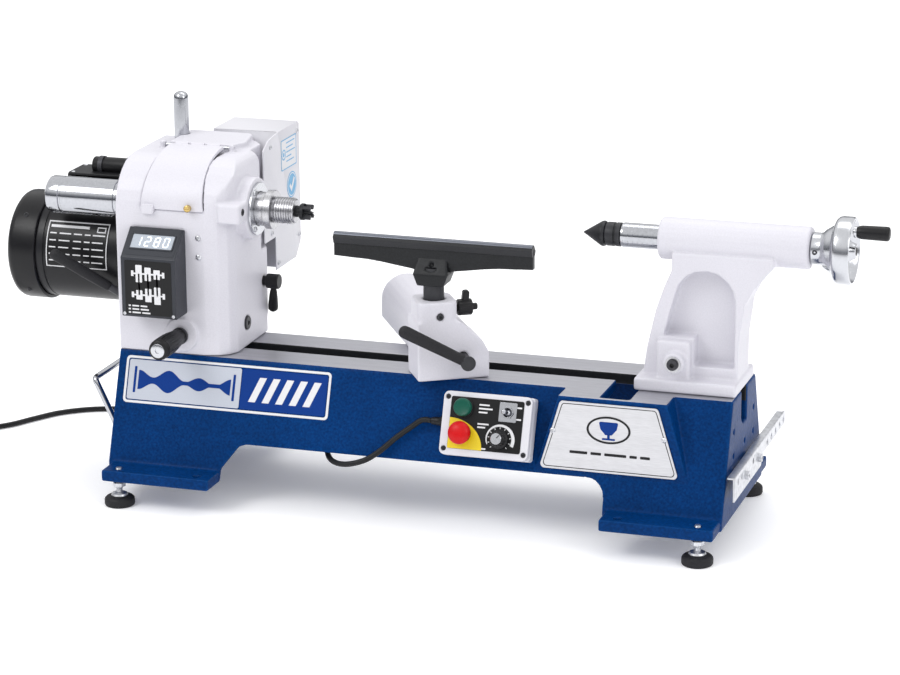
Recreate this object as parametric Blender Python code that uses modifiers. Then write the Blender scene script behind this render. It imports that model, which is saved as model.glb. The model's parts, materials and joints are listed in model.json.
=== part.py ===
"""A midi wood lathe on a bench bed: headstock with belt drive, tool-rest banjo and tailstock.

Sizes are written in millimetres in the machine's own frame: x runs along the bed from the motor end
to the tailstock end, y is the depth behind the spindle axis, and z is the height over the bed ways.
The parent empty carries that frame to the floor point under the middle of the machine, in metres.
"""

import math

import bmesh
import bpy
from mathutils import Matrix, Vector

MM = 0.001
GAP = 0.3                      # clearance between neighbouring solids

# Driving dimensions
MIDDLE_X, MIDDLE_Y = 462.5, 26.7
FLOOR = -180.0                 # the floor under the feet
AXIS_Z = 178.0                 # spindle axis over the ways: a 14 inch swing
BED_LEFT, BED_RIGHT = 75.0, 862.0
WAY_HALF = 62.0                # half width over the ways
FOOT_HALF = 110.0              # half width of the bed where its legs meet the flanges
FLANGE_TOP, FLANGE_BOTTOM = -133.0, -147.4
FLANGE_HALF = 148.0
SLOT_HALF = 14.0
HEAD_LEFT, HEAD_RIGHT = 75.0, 225.0
MOTOR_Y, MOTOR_Z = 60.0, 95.5
MOTOR_R = 65.5
BANJO_X = 487.6                # the banjo's clamp bolt, in the slot between the ways
BANJO_ANGLE = math.radians(32.0)
TAIL_LEFT, TAIL_RIGHT = 737.0, 862.0
PANEL_X, PANEL_Y, PANEL_Z = 570.0, -95.0, -6.0    # top middle of the control panel
PANEL_TILT = math.radians(69.4)
PLATE_LOW, PLATE_TOP = -24.0, -14.3    # clamp plates under the ways
POST_R = 12.7                  # one inch tool post
CORD_R = 3.5

COLOURS = {                    # base colour, roughness, metallic
    "blue_enamel": ((0.005, 0.045, 0.16), 0.35, 0.0),
    "white_enamel": ((0.78, 0.77, 0.82), 0.4, 0.0),
    "black_enamel": ((0.02, 0.02, 0.022), 0.4, 0.0),
    "steel": ((0.55, 0.55, 0.57), 0.3, 1.0),
    "chrome": ((0.8, 0.8, 0.82), 0.12, 1.0),
    "cast_iron": ((0.12, 0.12, 0.13), 0.5, 0.8),
    "aluminium": ((0.72, 0.72, 0.75), 0.35, 1.0),
    "brass": ((0.7, 0.55, 0.25), 0.3, 1.0),
    "black_plastic": ((0.02, 0.02, 0.022), 0.5, 0.0),
    "rubber": ((0.04, 0.04, 0.04), 0.8, 0.0),
    "red_plastic": ((0.7, 0.02, 0.02), 0.3, 0.0),
    "green_plastic": ((0.02, 0.25, 0.12), 0.35, 0.0),
}


def clear_scene():
    for item in list(bpy.data.objects):
        bpy.data.objects.remove(item, do_unlink=True)


clear_scene()
LATHE = bpy.data.collections.new("wood_lathe")
CUTTERS = bpy.data.collections.new("cutters")
for group in (LATHE, CUTTERS):
    bpy.context.scene.collection.children.link(group)

DATUM = bpy.data.objects.new("lathe_datum", None)
DATUM.location = (-MIDDLE_X * MM, -MIDDLE_Y * MM, -FLOOR * MM)
LATHE.objects.link(DATUM)


def material(name):
    made = bpy.data.materials.get(name)
    if made:
        return made
    colour, roughness, metallic = COLOURS[name]
    made = bpy.data.materials.new(name)
    made.use_nodes = True
    shader = made.node_tree.nodes["Principled BSDF"]
    shader.inputs["Base Color"].default_value = (*colour, 1.0)
    shader.inputs["Roughness"].default_value = roughness
    shader.inputs["Metallic"].default_value = metallic
    made.diffuse_color = (*colour, 1.0)
    return made


def add(name, mesh, finish, at=(0, 0, 0), turn=None, smooth=35.0):
    """A mesh in millimetres about its own origin, as an object at a place in the machine's frame."""
    mesh.transform(Matrix.Scale(MM, 4))
    if finish:
        mesh.materials.append(material(finish))
    mesh.shade_smooth()
    mesh.set_sharp_from_angle(angle=math.radians(smooth))
    item = bpy.data.objects.new(name, mesh)
    (LATHE if finish else CUTTERS).objects.link(item)
    item.parent = DATUM
    item.location = Vector(at) * MM
    if turn:
        item.rotation_euler = turn
    if not finish:
        item.hide_render = True
        item.display_type = "WIRE"
    return item


def bevel(item, width, segments=2, angle=40.0):
    edge = item.modifiers.new("edges", "BEVEL")
    edge.width = width * MM
    edge.segments = segments
    edge.limit_method = "ANGLE"
    edge.angle_limit = math.radians(angle)
    edge.use_clamp_overlap = True
    return item


def block(name, low, high, finish, round_edges=0.0, at=(0, 0, 0), turn=None):
    bm = bmesh.new()
    bmesh.ops.create_cube(bm, size=1.0)
    size = [b - a for a, b in zip(low, high)]
    middle = [(a + b) / 2 for a, b in zip(low, high)]
    bmesh.ops.scale(bm, vec=size, verts=bm.verts)
    bmesh.ops.translate(bm, vec=middle, verts=bm.verts)
    mesh = bpy.data.meshes.new(name)
    bm.to_mesh(mesh)
    bm.free()
    item = add(name, mesh, finish, at, turn)
    return bevel(item, round_edges) if round_edges else item


ALONG = {"x": (0, math.pi / 2, 0), "y": (-math.pi / 2, 0, 0), "z": (0, 0, 0)}


def turned(name, profile, finish, at=(0, 0, 0), along="z", turn=None, steps=20, smooth=35.0):
    """A profile of (radius, height) from its top down its outer side, swept about its own axis."""
    mesh = bpy.data.meshes.new(name)
    points = [(radius, 0.0, height) for radius, height in profile]
    edges = [(i, i + 1) for i in range(len(points) - 1)]
    if profile[0][0] > 0:
        edges.append((len(points) - 1, 0))
    mesh.from_pydata(points, edges, [])
    item = add(name, mesh, finish, at, turn or ALONG[along])
    screw = item.modifiers.new("turn", "SCREW")
    screw.steps = screw.render_steps = steps
    screw.angle = 2 * math.pi
    screw.use_merge_vertices = True
    screw.merge_threshold = 0.00001
    screw.use_smooth_shade = True
    item.data.set_sharp_from_angle(angle=math.radians(smooth))
    return item


def cylinder(name, radius, low, high, finish, at=(0, 0, 0), along="z", turn=None, steps=14):
    profile = [(0, high), (radius, high), (radius, low), (0, low)]
    return turned(name, profile, finish, at, along, turn, steps)


def ring(name, outer, inner, low, high, finish, at=(0, 0, 0), along="z", steps=20):
    profile = [(inner, high), (outer, high), (outer, low), (inner, low)]
    return turned(name, profile, finish, at, along, steps=steps)


def arc(centre, radius, start, end, steps=6):
    """Points of an arc, in degrees, the ends included."""
    angles = [math.radians(start + (end - start) * i / steps) for i in range(steps + 1)]
    return [(centre[0] + radius * math.cos(a), centre[1] + radius * math.sin(a)) for a in angles]


def rounded(corners, radius, steps=4):
    """An outline with each corner rounded by an arc of the given radius."""
    points = []
    for i, corner in enumerate(corners):
        here = Vector(corner)
        back = (Vector(corners[i - 1]) - here).normalized()
        ahead = (Vector(corners[(i + 1) % len(corners)]) - here).normalized()
        half = back.angle(ahead) / 2
        reach = radius / math.tan(half)
        centre = here + (back + ahead).normalized() * (radius / math.sin(half))
        first, last = here + back * reach, here + ahead * reach
        begin = math.atan2(first.y - centre.y, first.x - centre.x)
        sweep = math.atan2(last.y - centre.y, last.x - centre.x) - begin
        sweep = (sweep + math.pi) % (2 * math.pi) - math.pi
        points += [(centre.x + radius * math.cos(begin + sweep * k / steps),
                    centre.y + radius * math.sin(begin + sweep * k / steps)) for k in range(steps + 1)]
    return points


PLANES = {
    "xy": Matrix.Identity(4),
    "xz": Matrix(((1, 0, 0, 0), (0, 0, -1, 0), (0, 1, 0, 0), (0, 0, 0, 1))),
    "yz": Matrix(((0, 0, 1, 0), (1, 0, 0, 0), (0, 1, 0, 0), (0, 0, 0, 1))),
}


def plate(name, outline, low, high, finish, plane="xy", holes=(), at=(0, 0, 0), turn=None, smooth=35.0):
    """An outline in a plane, extruded from low to high along the plane's third axis."""
    curve = bpy.data.curves.new(name, "CURVE")
    curve.dimensions = "2D"
    curve.fill_mode = "BOTH"
    curve.extrude = abs(high - low) / 2
    for loop in (outline, *holes):
        spline = curve.splines.new("POLY")
        spline.points.add(len(loop) - 1)
        for point, (u, v) in zip(spline.points, loop):
            point.co = (u, v, 0, 1)
        spline.use_cyclic_u = True
    scratch = bpy.data.objects.new(name + "_outline", curve)
    CUTTERS.objects.link(scratch)
    bpy.context.view_layer.update()
    shape = scratch.evaluated_get(bpy.context.evaluated_depsgraph_get())
    mesh = bpy.data.meshes.new_from_object(shape)
    bpy.data.objects.remove(scratch, do_unlink=True)
    middle = (low + high) / 2 * (-1 if plane == "xz" else 1)
    mesh.transform(PLANES[plane] @ Matrix.Translation((0, 0, middle)))
    bm = bmesh.new()
    bm.from_mesh(mesh)
    bmesh.ops.remove_doubles(bm, verts=bm.verts, dist=0.01)
    bmesh.ops.recalc_face_normals(bm, faces=bm.faces)
    bm.to_mesh(mesh)
    bm.free()
    mesh.name = name
    return add(name, mesh, finish, at, turn, smooth)


def rod(name, points, radius, finish, sides=3, at=(0, 0, 0), turn=None):
    """A round bar along hand-set points, as a welded mesh."""
    curve = bpy.data.curves.new(name, "CURVE")
    curve.dimensions = "3D"
    curve.bevel_depth = radius
    curve.bevel_resolution = sides
    curve.use_fill_caps = True
    spline = curve.splines.new("POLY")
    spline.points.add(len(points) - 1)
    for point, place in zip(spline.points, points):
        point.co = (*place, 1)
    scratch = bpy.data.objects.new(name + "_line", curve)
    CUTTERS.objects.link(scratch)
    bpy.context.view_layer.update()
    shape = scratch.evaluated_get(bpy.context.evaluated_depsgraph_get())
    mesh = bpy.data.meshes.new_from_object(shape)
    bpy.data.objects.remove(scratch, do_unlink=True)
    bm = bmesh.new()
    bm.from_mesh(mesh)
    bmesh.ops.remove_doubles(bm, verts=bm.verts, dist=0.01)
    bmesh.ops.recalc_face_normals(bm, faces=bm.faces)
    bm.to_mesh(mesh)
    bm.free()
    mesh.name = name
    return add(name, mesh, finish, at, turn, smooth=60)


def boolean(item, tool, operation):
    change = item.modifiers.new(tool.name, "BOOLEAN")
    change.operation = operation
    change.object = tool
    if tool.name not in CUTTERS.objects:
        LATHE.objects.unlink(tool)
        CUTTERS.objects.link(tool)
        tool.hide_render = True
        tool.display_type = "WIRE"
    return item


def cut(item, *tools):
    for tool in tools:
        boolean(item, tool, "DIFFERENCE")
    return item


def join(item, *tools):
    for tool in tools:
        boolean(item, tool, "UNION")
    return item


def keep(item, *tools):
    for tool in tools:
        boolean(item, tool, "INTERSECT")
    return item


def smooth_route(points, spacing):
    """Evenly spaced points on a Catmull-Rom curve through the route's own points."""
    knots = [Vector(p) for p in points]
    knots = [2 * knots[0] - knots[1], *knots, 2 * knots[-1] - knots[-2]]
    dense = []
    for a, b, c, d in zip(knots, knots[1:], knots[2:], knots[3:]):
        for step in range(24):
            t = step / 24
            dense.append(0.5 * (2 * b + (c - a) * t + (2 * a - 5 * b + 4 * c - d) * t * t
                                + (3 * b - a - 3 * c + d) * t ** 3))
    dense.append(knots[-2])
    length = sum((q - p).length for p, q in zip(dense, dense[1:]))
    count = max(2, round(length / spacing))
    route, walked, target = [dense[0]], 0.0, length / count
    for p, q in zip(dense, dense[1:]):
        step = (q - p).length
        while len(route) < count and walked + step >= target * len(route):
            route.append(p.lerp(q, (target * len(route) - walked) / step))
        walked += step
    return [tuple(p) for p in route[:count]] + [tuple(dense[-1])]


# ---------------------------------------------------------------- bed

def slope_y(z, inset=0.0):
    """Half width of the bed's sloping side at a height under the ways."""
    return WAY_HALF + (FOOT_HALF - WAY_HALF) * (-z) / (-FLANGE_TOP) - inset


def make_bed():
    wall = 8.0
    outer = [(-WAY_HALF, 0), (-FOOT_HALF, FLANGE_TOP), (-FOOT_HALF, FLANGE_BOTTOM),
             (FOOT_HALF, FLANGE_BOTTOM), (FOOT_HALF, FLANGE_TOP), (WAY_HALF, 0)]
    bed = plate("bed", outer, BED_LEFT, BED_RIGHT, "blue_enamel", "yz")
    # the raised pad on the front, which carries the plaque and closes the gap in the front way
    pad_low, pad_front = -112.0, -97.0
    pad = plate("bed_pad", [(657, 0), (790, 0), (818, -96), (812, pad_low), (632, pad_low),
                            (628, -96)], pad_front, -40, "blue_enamel", "xz")
    join(bed, pad)
    for side in (-1, 1):
        for low, high in ((81.5, 224.0), (721.0, 860.0)):
            edges = sorted((side * 104.0, side * FLANGE_HALF))
            flange = block(f"flange_{side}_{low:.0f}", (low, edges[0], FLANGE_BOTTOM),
                           (high, edges[1], FLANGE_TOP), "blue_enamel")
            join(bed, flange)
    inner = [(-slope_y(-14, wall), -14), (-slope_y(-150, wall), -150),
             (slope_y(-150, wall), -150), (slope_y(-14, wall), -14)]
    hollow = plate("bed_hollow", inner, BED_LEFT + wall, BED_RIGHT - wall, None, "yz")
    arch = [(224, -160), (225, -131), (246, -103), (257, -99), *arc((692, -122), 23, 90, 0, 5), (715, -160)]
    opening = plate("bed_arch", arch, -140, 140, None, "xz")
    slot = block("bed_slot", (200, -SLOT_HALF, -20), (BED_RIGHT + 5, SLOT_HALF, 5), None)
    end_notch = plate("bed_end_notch", [(-SLOT_HALF, 5), (-SLOT_HALF, -34), (-5, -43), (SLOT_HALF, -43),
                                        (SLOT_HALF, 5)], BED_RIGHT - 12, BED_RIGHT + 5, None, "yz")
    way_gap = block("bed_way_gap", (707, -89, -60), (742, 0, 5), None)
    cut(bed, hollow, opening, slot, end_notch, way_gap)
    for side in (-1, 1):
        for x in (100.0, 204.0, 741.0, 839.0):
            radius = 4.2 if x in (100.0, 839.0) else 5.0
            cut(bed, cylinder(f"flange_hole_{side}_{x:.0f}", radius, FLANGE_BOTTOM - 5, FLANGE_TOP + 5, None,
                              (x, side * 135.0, 0), steps=10))
    for y, z in ((-53, -40), (53, -40), (-53, -70), (53, -70), (6, -68)):
        cut(bed, cylinder(f"end_hole_{y}_{z}", 3.0, -5, 4, None, (BED_RIGHT, y, z), "x", steps=10))
    for y in (-50.0, 50.0):
        cut(bed, cylinder(f"handle_hole_{y:.0f}", 4.6, -4, 12, None, (BED_LEFT, y, -118), "x", steps=10))
    cut(bed, cylinder("head_cable_hole", 8, -30, 5, None, (212, 40, 0), steps=10))
    return bed


def make_feet():
    for x, side_x in ((100.0, "left"), (839.0, "right")):
        for y, side_y in ((-135.0, "front"), (135.0, "rear")):
            profile = [(0, 48.6), (3.9, 48.6), (3.9, 30), (8.2, 30), (8.2, 23.5), (3.9, 23.5), (3.9, 17), (19, 13),
                       (19, 0), (0, 0)]
            turned(f"levelling_foot_{side_y}_{side_x}", profile, "rubber", (x, y, FLOOR), steps=14)


def make_plaque():
    """The aluminium trapezoid on the front pad."""
    outline = rounded([(660, -5), (780, -5), (806, -91), (634, -91)][::-1], 5, 3)
    holes = [arc((x, z), 2.2, 0, 324, 9) for x, z in ((651, -43), (788, -43))]
    return plate("plaque", outline, -98.9, -97.4, "aluminium", "xz", holes)


def make_end_handle():
    """The bent chrome bar on the motor end of the bed."""
    reach, bend, low, high = 33.0, 12.0, -118.0, -46.0
    rise = (high - low) / (BED_LEFT - reach)
    points = [(BED_LEFT + 5, -50, low), (BED_LEFT - 8, -50, low)]
    for t in (0.3, 0.6, 0.85):
        points.append((BED_LEFT - 8 + (reach - BED_LEFT + 8) * t, -50, low + (high - low) * t))
    points += [(reach + 2, -49, high - 3), (reach, -44, high), (reach, -38, high)]
    points += [(x, -y, z) for x, y, z in reversed(points)]
    return rod("end_handle", points, 4.0, "chrome", 2)


def make_tool_bracket():
    """The folded steel tool rack bolted to the tailstock end of the bed."""
    near, far = BED_RIGHT + 10, BED_RIGHT + 12.5
    outline = [(-100, -112), (44, -112), (60, -99), *arc((178, -90.5), 8.5, -90, 90, 6), (-100, -82)]
    face = plate("tool_bracket", outline, near, far, "steel", "yz")
    join(face, block("bracket_fold", (BED_RIGHT + 3, -100, -84.3), (far, 176, -82), "steel"))
    for y in (-40.0, 30.0):
        spacer = cylinder(f"bracket_spacer_{y:.0f}", 6, GAP, 11, "steel", (BED_RIGHT, y, -97), "x", steps=10)
        join(face, spacer)
    for y in (-80, -60, 2, 80, 104, 128, 152, 174):
        cut(face, cylinder(f"bracket_hole_{y}", 4.0, -5, 20, None, (BED_RIGHT + 5, y, -92), "x", steps=10))
    return face


# ---------------------------------------------------------------- headstock

def head_outline(inset):
    """The casting's end view, moved in by a wall thickness."""
    front, rear, crown = -WAY_HALF + inset, 112 - inset, 240 - inset
    foot = 0.0 + GAP if inset == 0 else 14.0
    return [(front, foot), *arc((0, AXIS_Z), WAY_HALF - inset, 180, 90, 7), (rear - 10, crown),
            (rear, crown - 12), (rear, 50 + inset / 2), (WAY_HALF + 4 - inset, 22 + inset / 2),
            (WAY_HALF + 4 - inset, foot)]


def make_headstock():
    head = plate("headstock", head_outline(0), HEAD_LEFT, HEAD_RIGHT, "white_enamel", "yz")
    crown = plate("head_crown", [(108.6, 36), (193.2, 36), (204, 60), (196, 100), (190, 108), (108.6, 108)],
                  230, 248, "white_enamel", "xy")
    boss = cylinder("head_bearing_boss", 39, -14, 15, "white_enamel", (HEAD_RIGHT, 0, AXIS_Z), "x", steps=24)
    lug = block("head_lug", (210, -WAY_HALF, 170), (240, -30, 195), "white_enamel", 3)
    pad = cylinder("lock_pad", 22, 56, 66, "white_enamel", (160, 0, 25.7), turn=(math.pi / 2, 0, 0), steps=14)
    plan = [(HEAD_LEFT - 1, -80), (190, -80), (190, -62.3), (208, -58), (219, -49), (225.2, -36),
            (225.2, 67), (219, 77), (193, 112), (HEAD_LEFT - 1, 113)]
    corner = plate("head_plan", plan, -1, 260, None, "xy")
    side = [(HEAD_LEFT - 1, -1), (226, -1), (226, 226), *arc((209, 224.5), 16, 0, 90, 4), (HEAD_LEFT - 1, 240.5)]
    shoulder = plate("head_side", side, -90, 130, None, "xz")
    keep(head, corner, shoulder)
    join(head, crown, boss, lug, pad)
    hollow = plate("head_hollow", head_outline(8), 95, 205, None, "yz")
    door = plate("head_door_opening", [(108.6, 183.7), (193.2, 183.7), (184, 262), (115.6, 262)],
                 -80, 24, None, "xz")
    front_bore = cylinder("front_bearing_bore", 26.3, -30, 16, None, (HEAD_RIGHT, 0, AXIS_Z), "x", steps=24)
    rear_bore = cylinder("rear_bearing_bore", 26.3, -5, 30, None, (HEAD_LEFT, 0, AXIS_Z), "x", steps=24)
    motor_way = cylinder("motor_way", 27, -5, 30, None, (HEAD_LEFT, MOTOR_Y, MOTOR_Z), "x", steps=14)
    lug_hole = cylinder("lug_hole", 4.5, -14, 10, None, (240, -48, 184), "x", steps=10)
    lock_hole = cylinder("lock_hole", 6.3, 40, 70, None, (160, 0, 25.7), turn=(math.pi / 2, 0, 0), steps=10)
    side_hole = cylinder("side_hole", 9, -12, 5, None, (HEAD_RIGHT, -5, 30.7), "x", steps=12)
    lever_hole = cylinder("lever_hole", 6.3, -30, 5, None, (HEAD_RIGHT, 55, 70), "x", steps=10)
    bar_hole = cylinder("bar_hole", 10.4, 200, 260, None, (106, 84, 0), steps=16)
    relief = block("head_relief", (212, 50, 112), (230, 120, 262), None)
    cut(head, hollow, door, front_bore, rear_bore, motor_way, lug_hole, lock_hole, side_hole, lever_hole,
        bar_hole, relief)
    for x in (103.0, 196.5):
        ear = block(f"hinge_ear_{x:.0f}", (x - 3.4, 25.5, 236), (x + 3.4, 36.5, 250.5), "white_enamel", 2)
        hole = cylinder(f"ear_hole_{x:.0f}", 2.3, -6, 6, None, (x, 31, 245), "x", steps=10)
        join(head, ear)
        cut(head, hole)
    return head


def make_belt_door():
    """The curved cover over the pulleys, hinged along its top edge."""
    pivot = Vector((151, 31, 245))
    outer = [(28 - 91.5 * math.cos(a), 184 + 63.5 * math.sin(a)) for a in
             (math.radians(8 + 82 * i / 10) for i in range(11))]
    inner = [(28 - 87.5 * math.cos(a), 184 + 59.5 * math.sin(a)) for a in
             (math.radians(8 + 82 * i / 10) for i in range(11))]
    profile = [(-63.5, 184.0), *outer, *reversed(inner), (-59.5, 184.0)]
    local = [(y - pivot.y, z - pivot.z) for y, z in profile]
    door = plate("belt_door", local, -50, 50, "white_enamel", "yz", at=pivot)
    edge = [(109.2 - 151, 180 - 245), (192.6 - 151, 180 - 245), (183.2 - 151, 270 - 245), (116.4 - 151, 270 - 245)]
    keep(door, plate("door_outline", edge, -110, 10, None, "xz", at=pivot))
    knuckle = cylinder("door_knuckle", 4.0, -30, 30, "white_enamel", (149.8, 31, 245), "x", steps=10)
    lug = block("door_lug", (112, -67, 184), (128, -62, 190), "white_enamel", 1.2)
    screw = turned("door_screw", [(0, 71.5), (3.6, 71.5), (4.4, 70.5), (4.4, 66), (2.5, 64.8), (2.5, 58), (0, 58)],
                   "brass", (174.8, 0, 189), turn=(math.pi / 2, 0, 0), steps=12)
    join(door, knuckle, lug, screw)
    cut(door, cylinder("door_knuckle_bore", 2.3, -60, 60, None, (149.8, 31, 245), "x", steps=10))
    return door


def make_hinge_pin():
    cylinder("door_hinge_pin", 2.0, -48, 48, "steel", (149.8, 31, 245), "x", steps=12)


def make_spindle_line():
    """Spindle, bearings, pulley, outboard handwheel and drive centre, all about the spindle axis."""
    axis = (0, 0, AXIS_Z)
    bearing_bore, bearing_outer = 12.8, 26.0
    ring("front_bearing", bearing_outer, bearing_bore, 207, 222, "steel", axis, "x", 32)
    ring("rear_bearing", bearing_outer, bearing_bore, 78, 93, "steel", axis, "x", 32)
    retainer = ring("bearing_retainer", 33.0, 22.0, 240.3, 243.3, "chrome", axis, "x", 32)
    for index, angle in enumerate((55, -55)):
        y, z = 28 * math.cos(math.radians(180 + angle)), 28 * math.sin(math.radians(180 + angle))
        join(retainer, cylinder(f"retainer_screw_{index}", 4.0, 242, 247, "chrome", (0, y, AXIS_Z - z), "x",
                                steps=10))
    profile = [(7.4, 292), (15.0, 292), (16.5, 290), (16.5, 264), (24.5, 264), (24.5, 254.6),
               (21.2, 254.6), (21.2, 224), (12.5, 224), (12.5, 76), (11.5, 76), (11.5, -40), (5.2, -40),
               (5.2, 206), (6.8, 206)]
    turned("spindle", profile, "steel", axis, "x", steps=20, smooth=25)
    steps = [(24.0, 178.0), (31.0, 162.0), (38.0, 146.0)]
    groove = [(12.8, 180), (26.5, 180), (26.5, 178)]
    for radius, x in steps:
        groove += [(radius, x), (radius, x - 14), (radius + 2.5, x - 14), (radius + 2.5, x - 16)]
    groove += [(20, 130), (20, 118), (12.8, 118)]
    turned("spindle_pulley", groove, "aluminium", axis, "x", steps=20)
    wheel = [(11.8, 74.5), (22, 74.5), (24, 72), (24, -35), (22.5, -39), (19, -41), (11.8, -41)]
    turned("outboard_handwheel", wheel, "chrome", axis, "x", steps=24)
    centre = [(0, 314), (1.8, 309), (3.6, 305.5), (5.6, 305.5), (5.6, 308), (10.5, 310.5), (10.5, 298.5),
              (7.0, 297.5), (7.0, 291), (6.4, 250), (6.1, 214), (0, 214)]
    drive = turned("drive_centre", centre, "black_enamel", axis, "x", steps=14)
    for turn in (0, 1):
        low = (304.0, -1.9, -14) if turn else (304.0, -14, -1.9)
        high = (316.0, 1.9, 14) if turn else (316.0, 14, 1.9)
        notch = block(f"prong_notch_{turn}", low, high, None, at=axis, turn=(math.pi / 4, 0, 0))
        cut(drive, notch)


def make_lock_knob():
    knob = [(0, 142), (6, 142), (10.5, 140.5), (13.0, 137), (13.0, 104), (11.0, 84), (9.0, 72), (6.0, 70),
            (6.0, 60), (0, 60)]
    turned("lock_knob", knob, "rubber", (160, 0, 25.7), turn=(math.pi / 2, 0, 0), steps=16)


def make_display():
    profile = [(-98, 54), (-98, 129.5), (-WAY_HALF - GAP, 163.4), (-WAY_HALF - GAP, 54)]
    case = plate("display_box", profile, 96, 168, "black_plastic", "yz")
    return bevel(case, 1.6)


def make_electronics_box():
    wall = 1.6
    outline = [(114, 250), (186, 250), (190, 246), (190, 92), (172, 72), (114, 72)]
    box = plate("electronics_box", outline, 137, HEAD_RIGHT, "white_enamel", "yz")
    inner = [(114 + wall, 250 - wall), (188.4, 250 - wall), (188.4, 92.8), (171.2, 72 + wall), (114 + wall, 72 + wall)]
    cut(box, plate("box_hollow", inner, 137 + wall, HEAD_RIGHT - wall, None, "yz"))
    ear = [(62, 236), (80, 246), (116, 250), (116, 72), (100, 72), (100, 116), (62, 116)]
    join(box, plate("box_ear", ear, HEAD_RIGHT - wall, HEAD_RIGHT, "white_enamel", "yz"))
    cut(box, cylinder("box_gland_hole", 5.6, 60, 80, None, (180, 150, 0), steps=10))
    cut(box, cylinder("box_vent", 16, 110, 120, None, (170, 0, 150), turn=(-math.pi / 2, 0, 0), steps=12))
    return box


def lever_grip(name, hub, end, radius, finish):
    """A tapered grip from a round hub, with its origin on the hub's middle."""
    hub, end = Vector(hub), Vector(end)
    reach = end - hub
    length = reach.length
    turn = reach.to_track_quat("Z", "Y").to_euler()
    profile = [(0, length), (radius * 0.6, length - 0.4), (radius * 0.95, length - 3), (radius, length - 8),
               (radius * 0.7, length * 0.35), (radius * 0.45, length * 0.3), (radius * 0.45, 0), (0, 0)]
    return turned(name, profile, finish, hub, turn=turn, steps=12)


def make_plate_clamp():
    """The ratchet lever at the back that clamps the motor plate."""
    lever = lever_grip("plate_clamp_lever", (238, 55, 70), (232, 66, 28), 6.5, "black_plastic")
    join(lever, cylinder("plate_clamp_hub", 9.5, -9, 8, "black_plastic", (238, 55, 70), "x", steps=10))
    join(lever, cylinder("plate_clamp_stud", 6.0, -40, -8, "black_plastic", (238, 55, 70), "x", steps=10))
    return lever


def make_knockout_bar():
    bar = [(0, 302), (5, 301.2), (8, 299), (9.5, 295), (9.5, 50), (0, 50)]
    return turned("knockout_bar", bar, "chrome", (106, 84, 0), steps=14)


# ---------------------------------------------------------------- motor and belt

def make_motor():
    centre = (0, MOTOR_Y, MOTOR_Z)
    body = [(9.0, 66), (63, 66), (MOTOR_R, 63), (MOTOR_R, -64), (36, -64), (36, 58), (9.0, 58)]
    turned("motor_body", body, "black_enamel", centre, "x", steps=24)
    cap = [(0, -106), (56, -106), (66, -103), (70, -97), (70, -64.3), (66.5, -64.3), (66.5, -95),
           (63, -100), (55, -102.5), (0, -102.5)]
    cap = [(radius, x) for radius, x in reversed(cap)]
    fan_cover = turned("motor_end_cap", cap, "black_enamel", centre, "x", steps=24)
    for index in range(6):
        angle = 2 * math.pi * index / 6
        cut(fan_cover, block(f"cap_slot_{index}", (-115, -3, 22), (-97, 3, 48), None, at=centre,
                             turn=(angle, 0, 0)))
    rotor = [(0, 188), (6.5, 188), (6.5, 50), (34, 48), (34, -48), (6.5, -50), (6.5, -96), (0, -96)]
    turned("motor_rotor", rotor, "steel", centre, "x", steps=14)
    fan = [(6.8, -72), (14, -72), (14, -78), (52, -78), (52, -90), (6.8, -90)]
    turned("cooling_fan", fan, "black_plastic", centre, "x", steps=14)
    plan = rounded([(-12, 26), (124, 30), (124, 165), (50, 165), (-12, 130)], 12, 3)
    mount = plate("motor_plate", plan, 66.4, 74.5, "black_enamel", "yz")
    cut(mount, cylinder("plate_shaft_way", 10, 60, 80, None, centre, "x", steps=12))
    groove = [(6.8, 180), (38.5, 180), (38.5, 178)]
    for radius, x in ((36.0, 178.0), (29.0, 162.0), (22.0, 146.0)):
        groove += [(radius, x), (radius, x - 14), (radius + 2.5, x - 14), (radius + 2.5, x - 16)]
    groove += [(14, 130), (14, 118), (6.8, 118)]
    turned("motor_pulley", groove, "aluminium", centre, "x", steps=20)
    box = block("terminal_box", (-52, 74, 160), (28, 126, 189), "black_plastic", 3)
    capacitor = cylinder("start_capacitor", 11, -24, 38, "black_plastic", (0, 100, 195), "x", steps=12)
    neck = block("terminal_neck", (-30, 84, 152), (10, 112, 168), "black_plastic")
    join(box, capacitor, neck)
    cut(box, cylinder("terminal_seat", MOTOR_R + GAP, -70, 70, None, centre, "x", steps=24))


def make_drive_belt():
    """A ribbed belt round the middle steps: two arcs and the straight runs that touch both."""
    upper, lower = Vector((0, AXIS_Z)), Vector((MOTOR_Y, MOTOR_Z))
    upper_r, lower_r = 31.0 + GAP, 29.0 + GAP
    line = lower - upper
    along = math.atan2(line.y, line.x)
    lean = math.acos((upper_r - lower_r) / line.length)

    def loop(extra):
        first = math.degrees(along + lean)
        last = math.degrees(along - lean)
        around_upper = arc(upper, upper_r + extra, first, last + 360, 14)
        around_lower = arc(lower, lower_r + extra, last, first, 12)
        return around_upper + around_lower

    return plate("drive_belt", loop(2.4), 150.2, 160.0, "rubber", "yz", holes=[loop(0.0)])


def make_tension_lever():
    """The long grip at the front of the motor that lifts it to slacken the belt."""
    root, tip = Vector((62.9, -5.2, 50.6)), Vector((-25, -42, 113))
    reach = tip - root
    length = reach.length
    turn = reach.to_track_quat("Z", "Y").to_euler()
    profile = [(0, length), (4, length - 0.6), (6.6, length - 3), (7.2, length - 9), (6.2, 30), (5.6, 26),
               (5.0, 24), (5.0, 0), (0, 0)]
    return turned("tension_lever", profile, "rubber", root, turn=turn, steps=12)


# ---------------------------------------------------------------- control box

def panel_point(x, down, out):
    """A point over the control panel: across, down its slope and out of its face."""
    tilt = PANEL_TILT
    return (PANEL_X + x, PANEL_Y - down * math.cos(tilt) - out * math.sin(tilt),
            PANEL_Z - down * math.sin(tilt) + out * math.cos(tilt))


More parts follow.
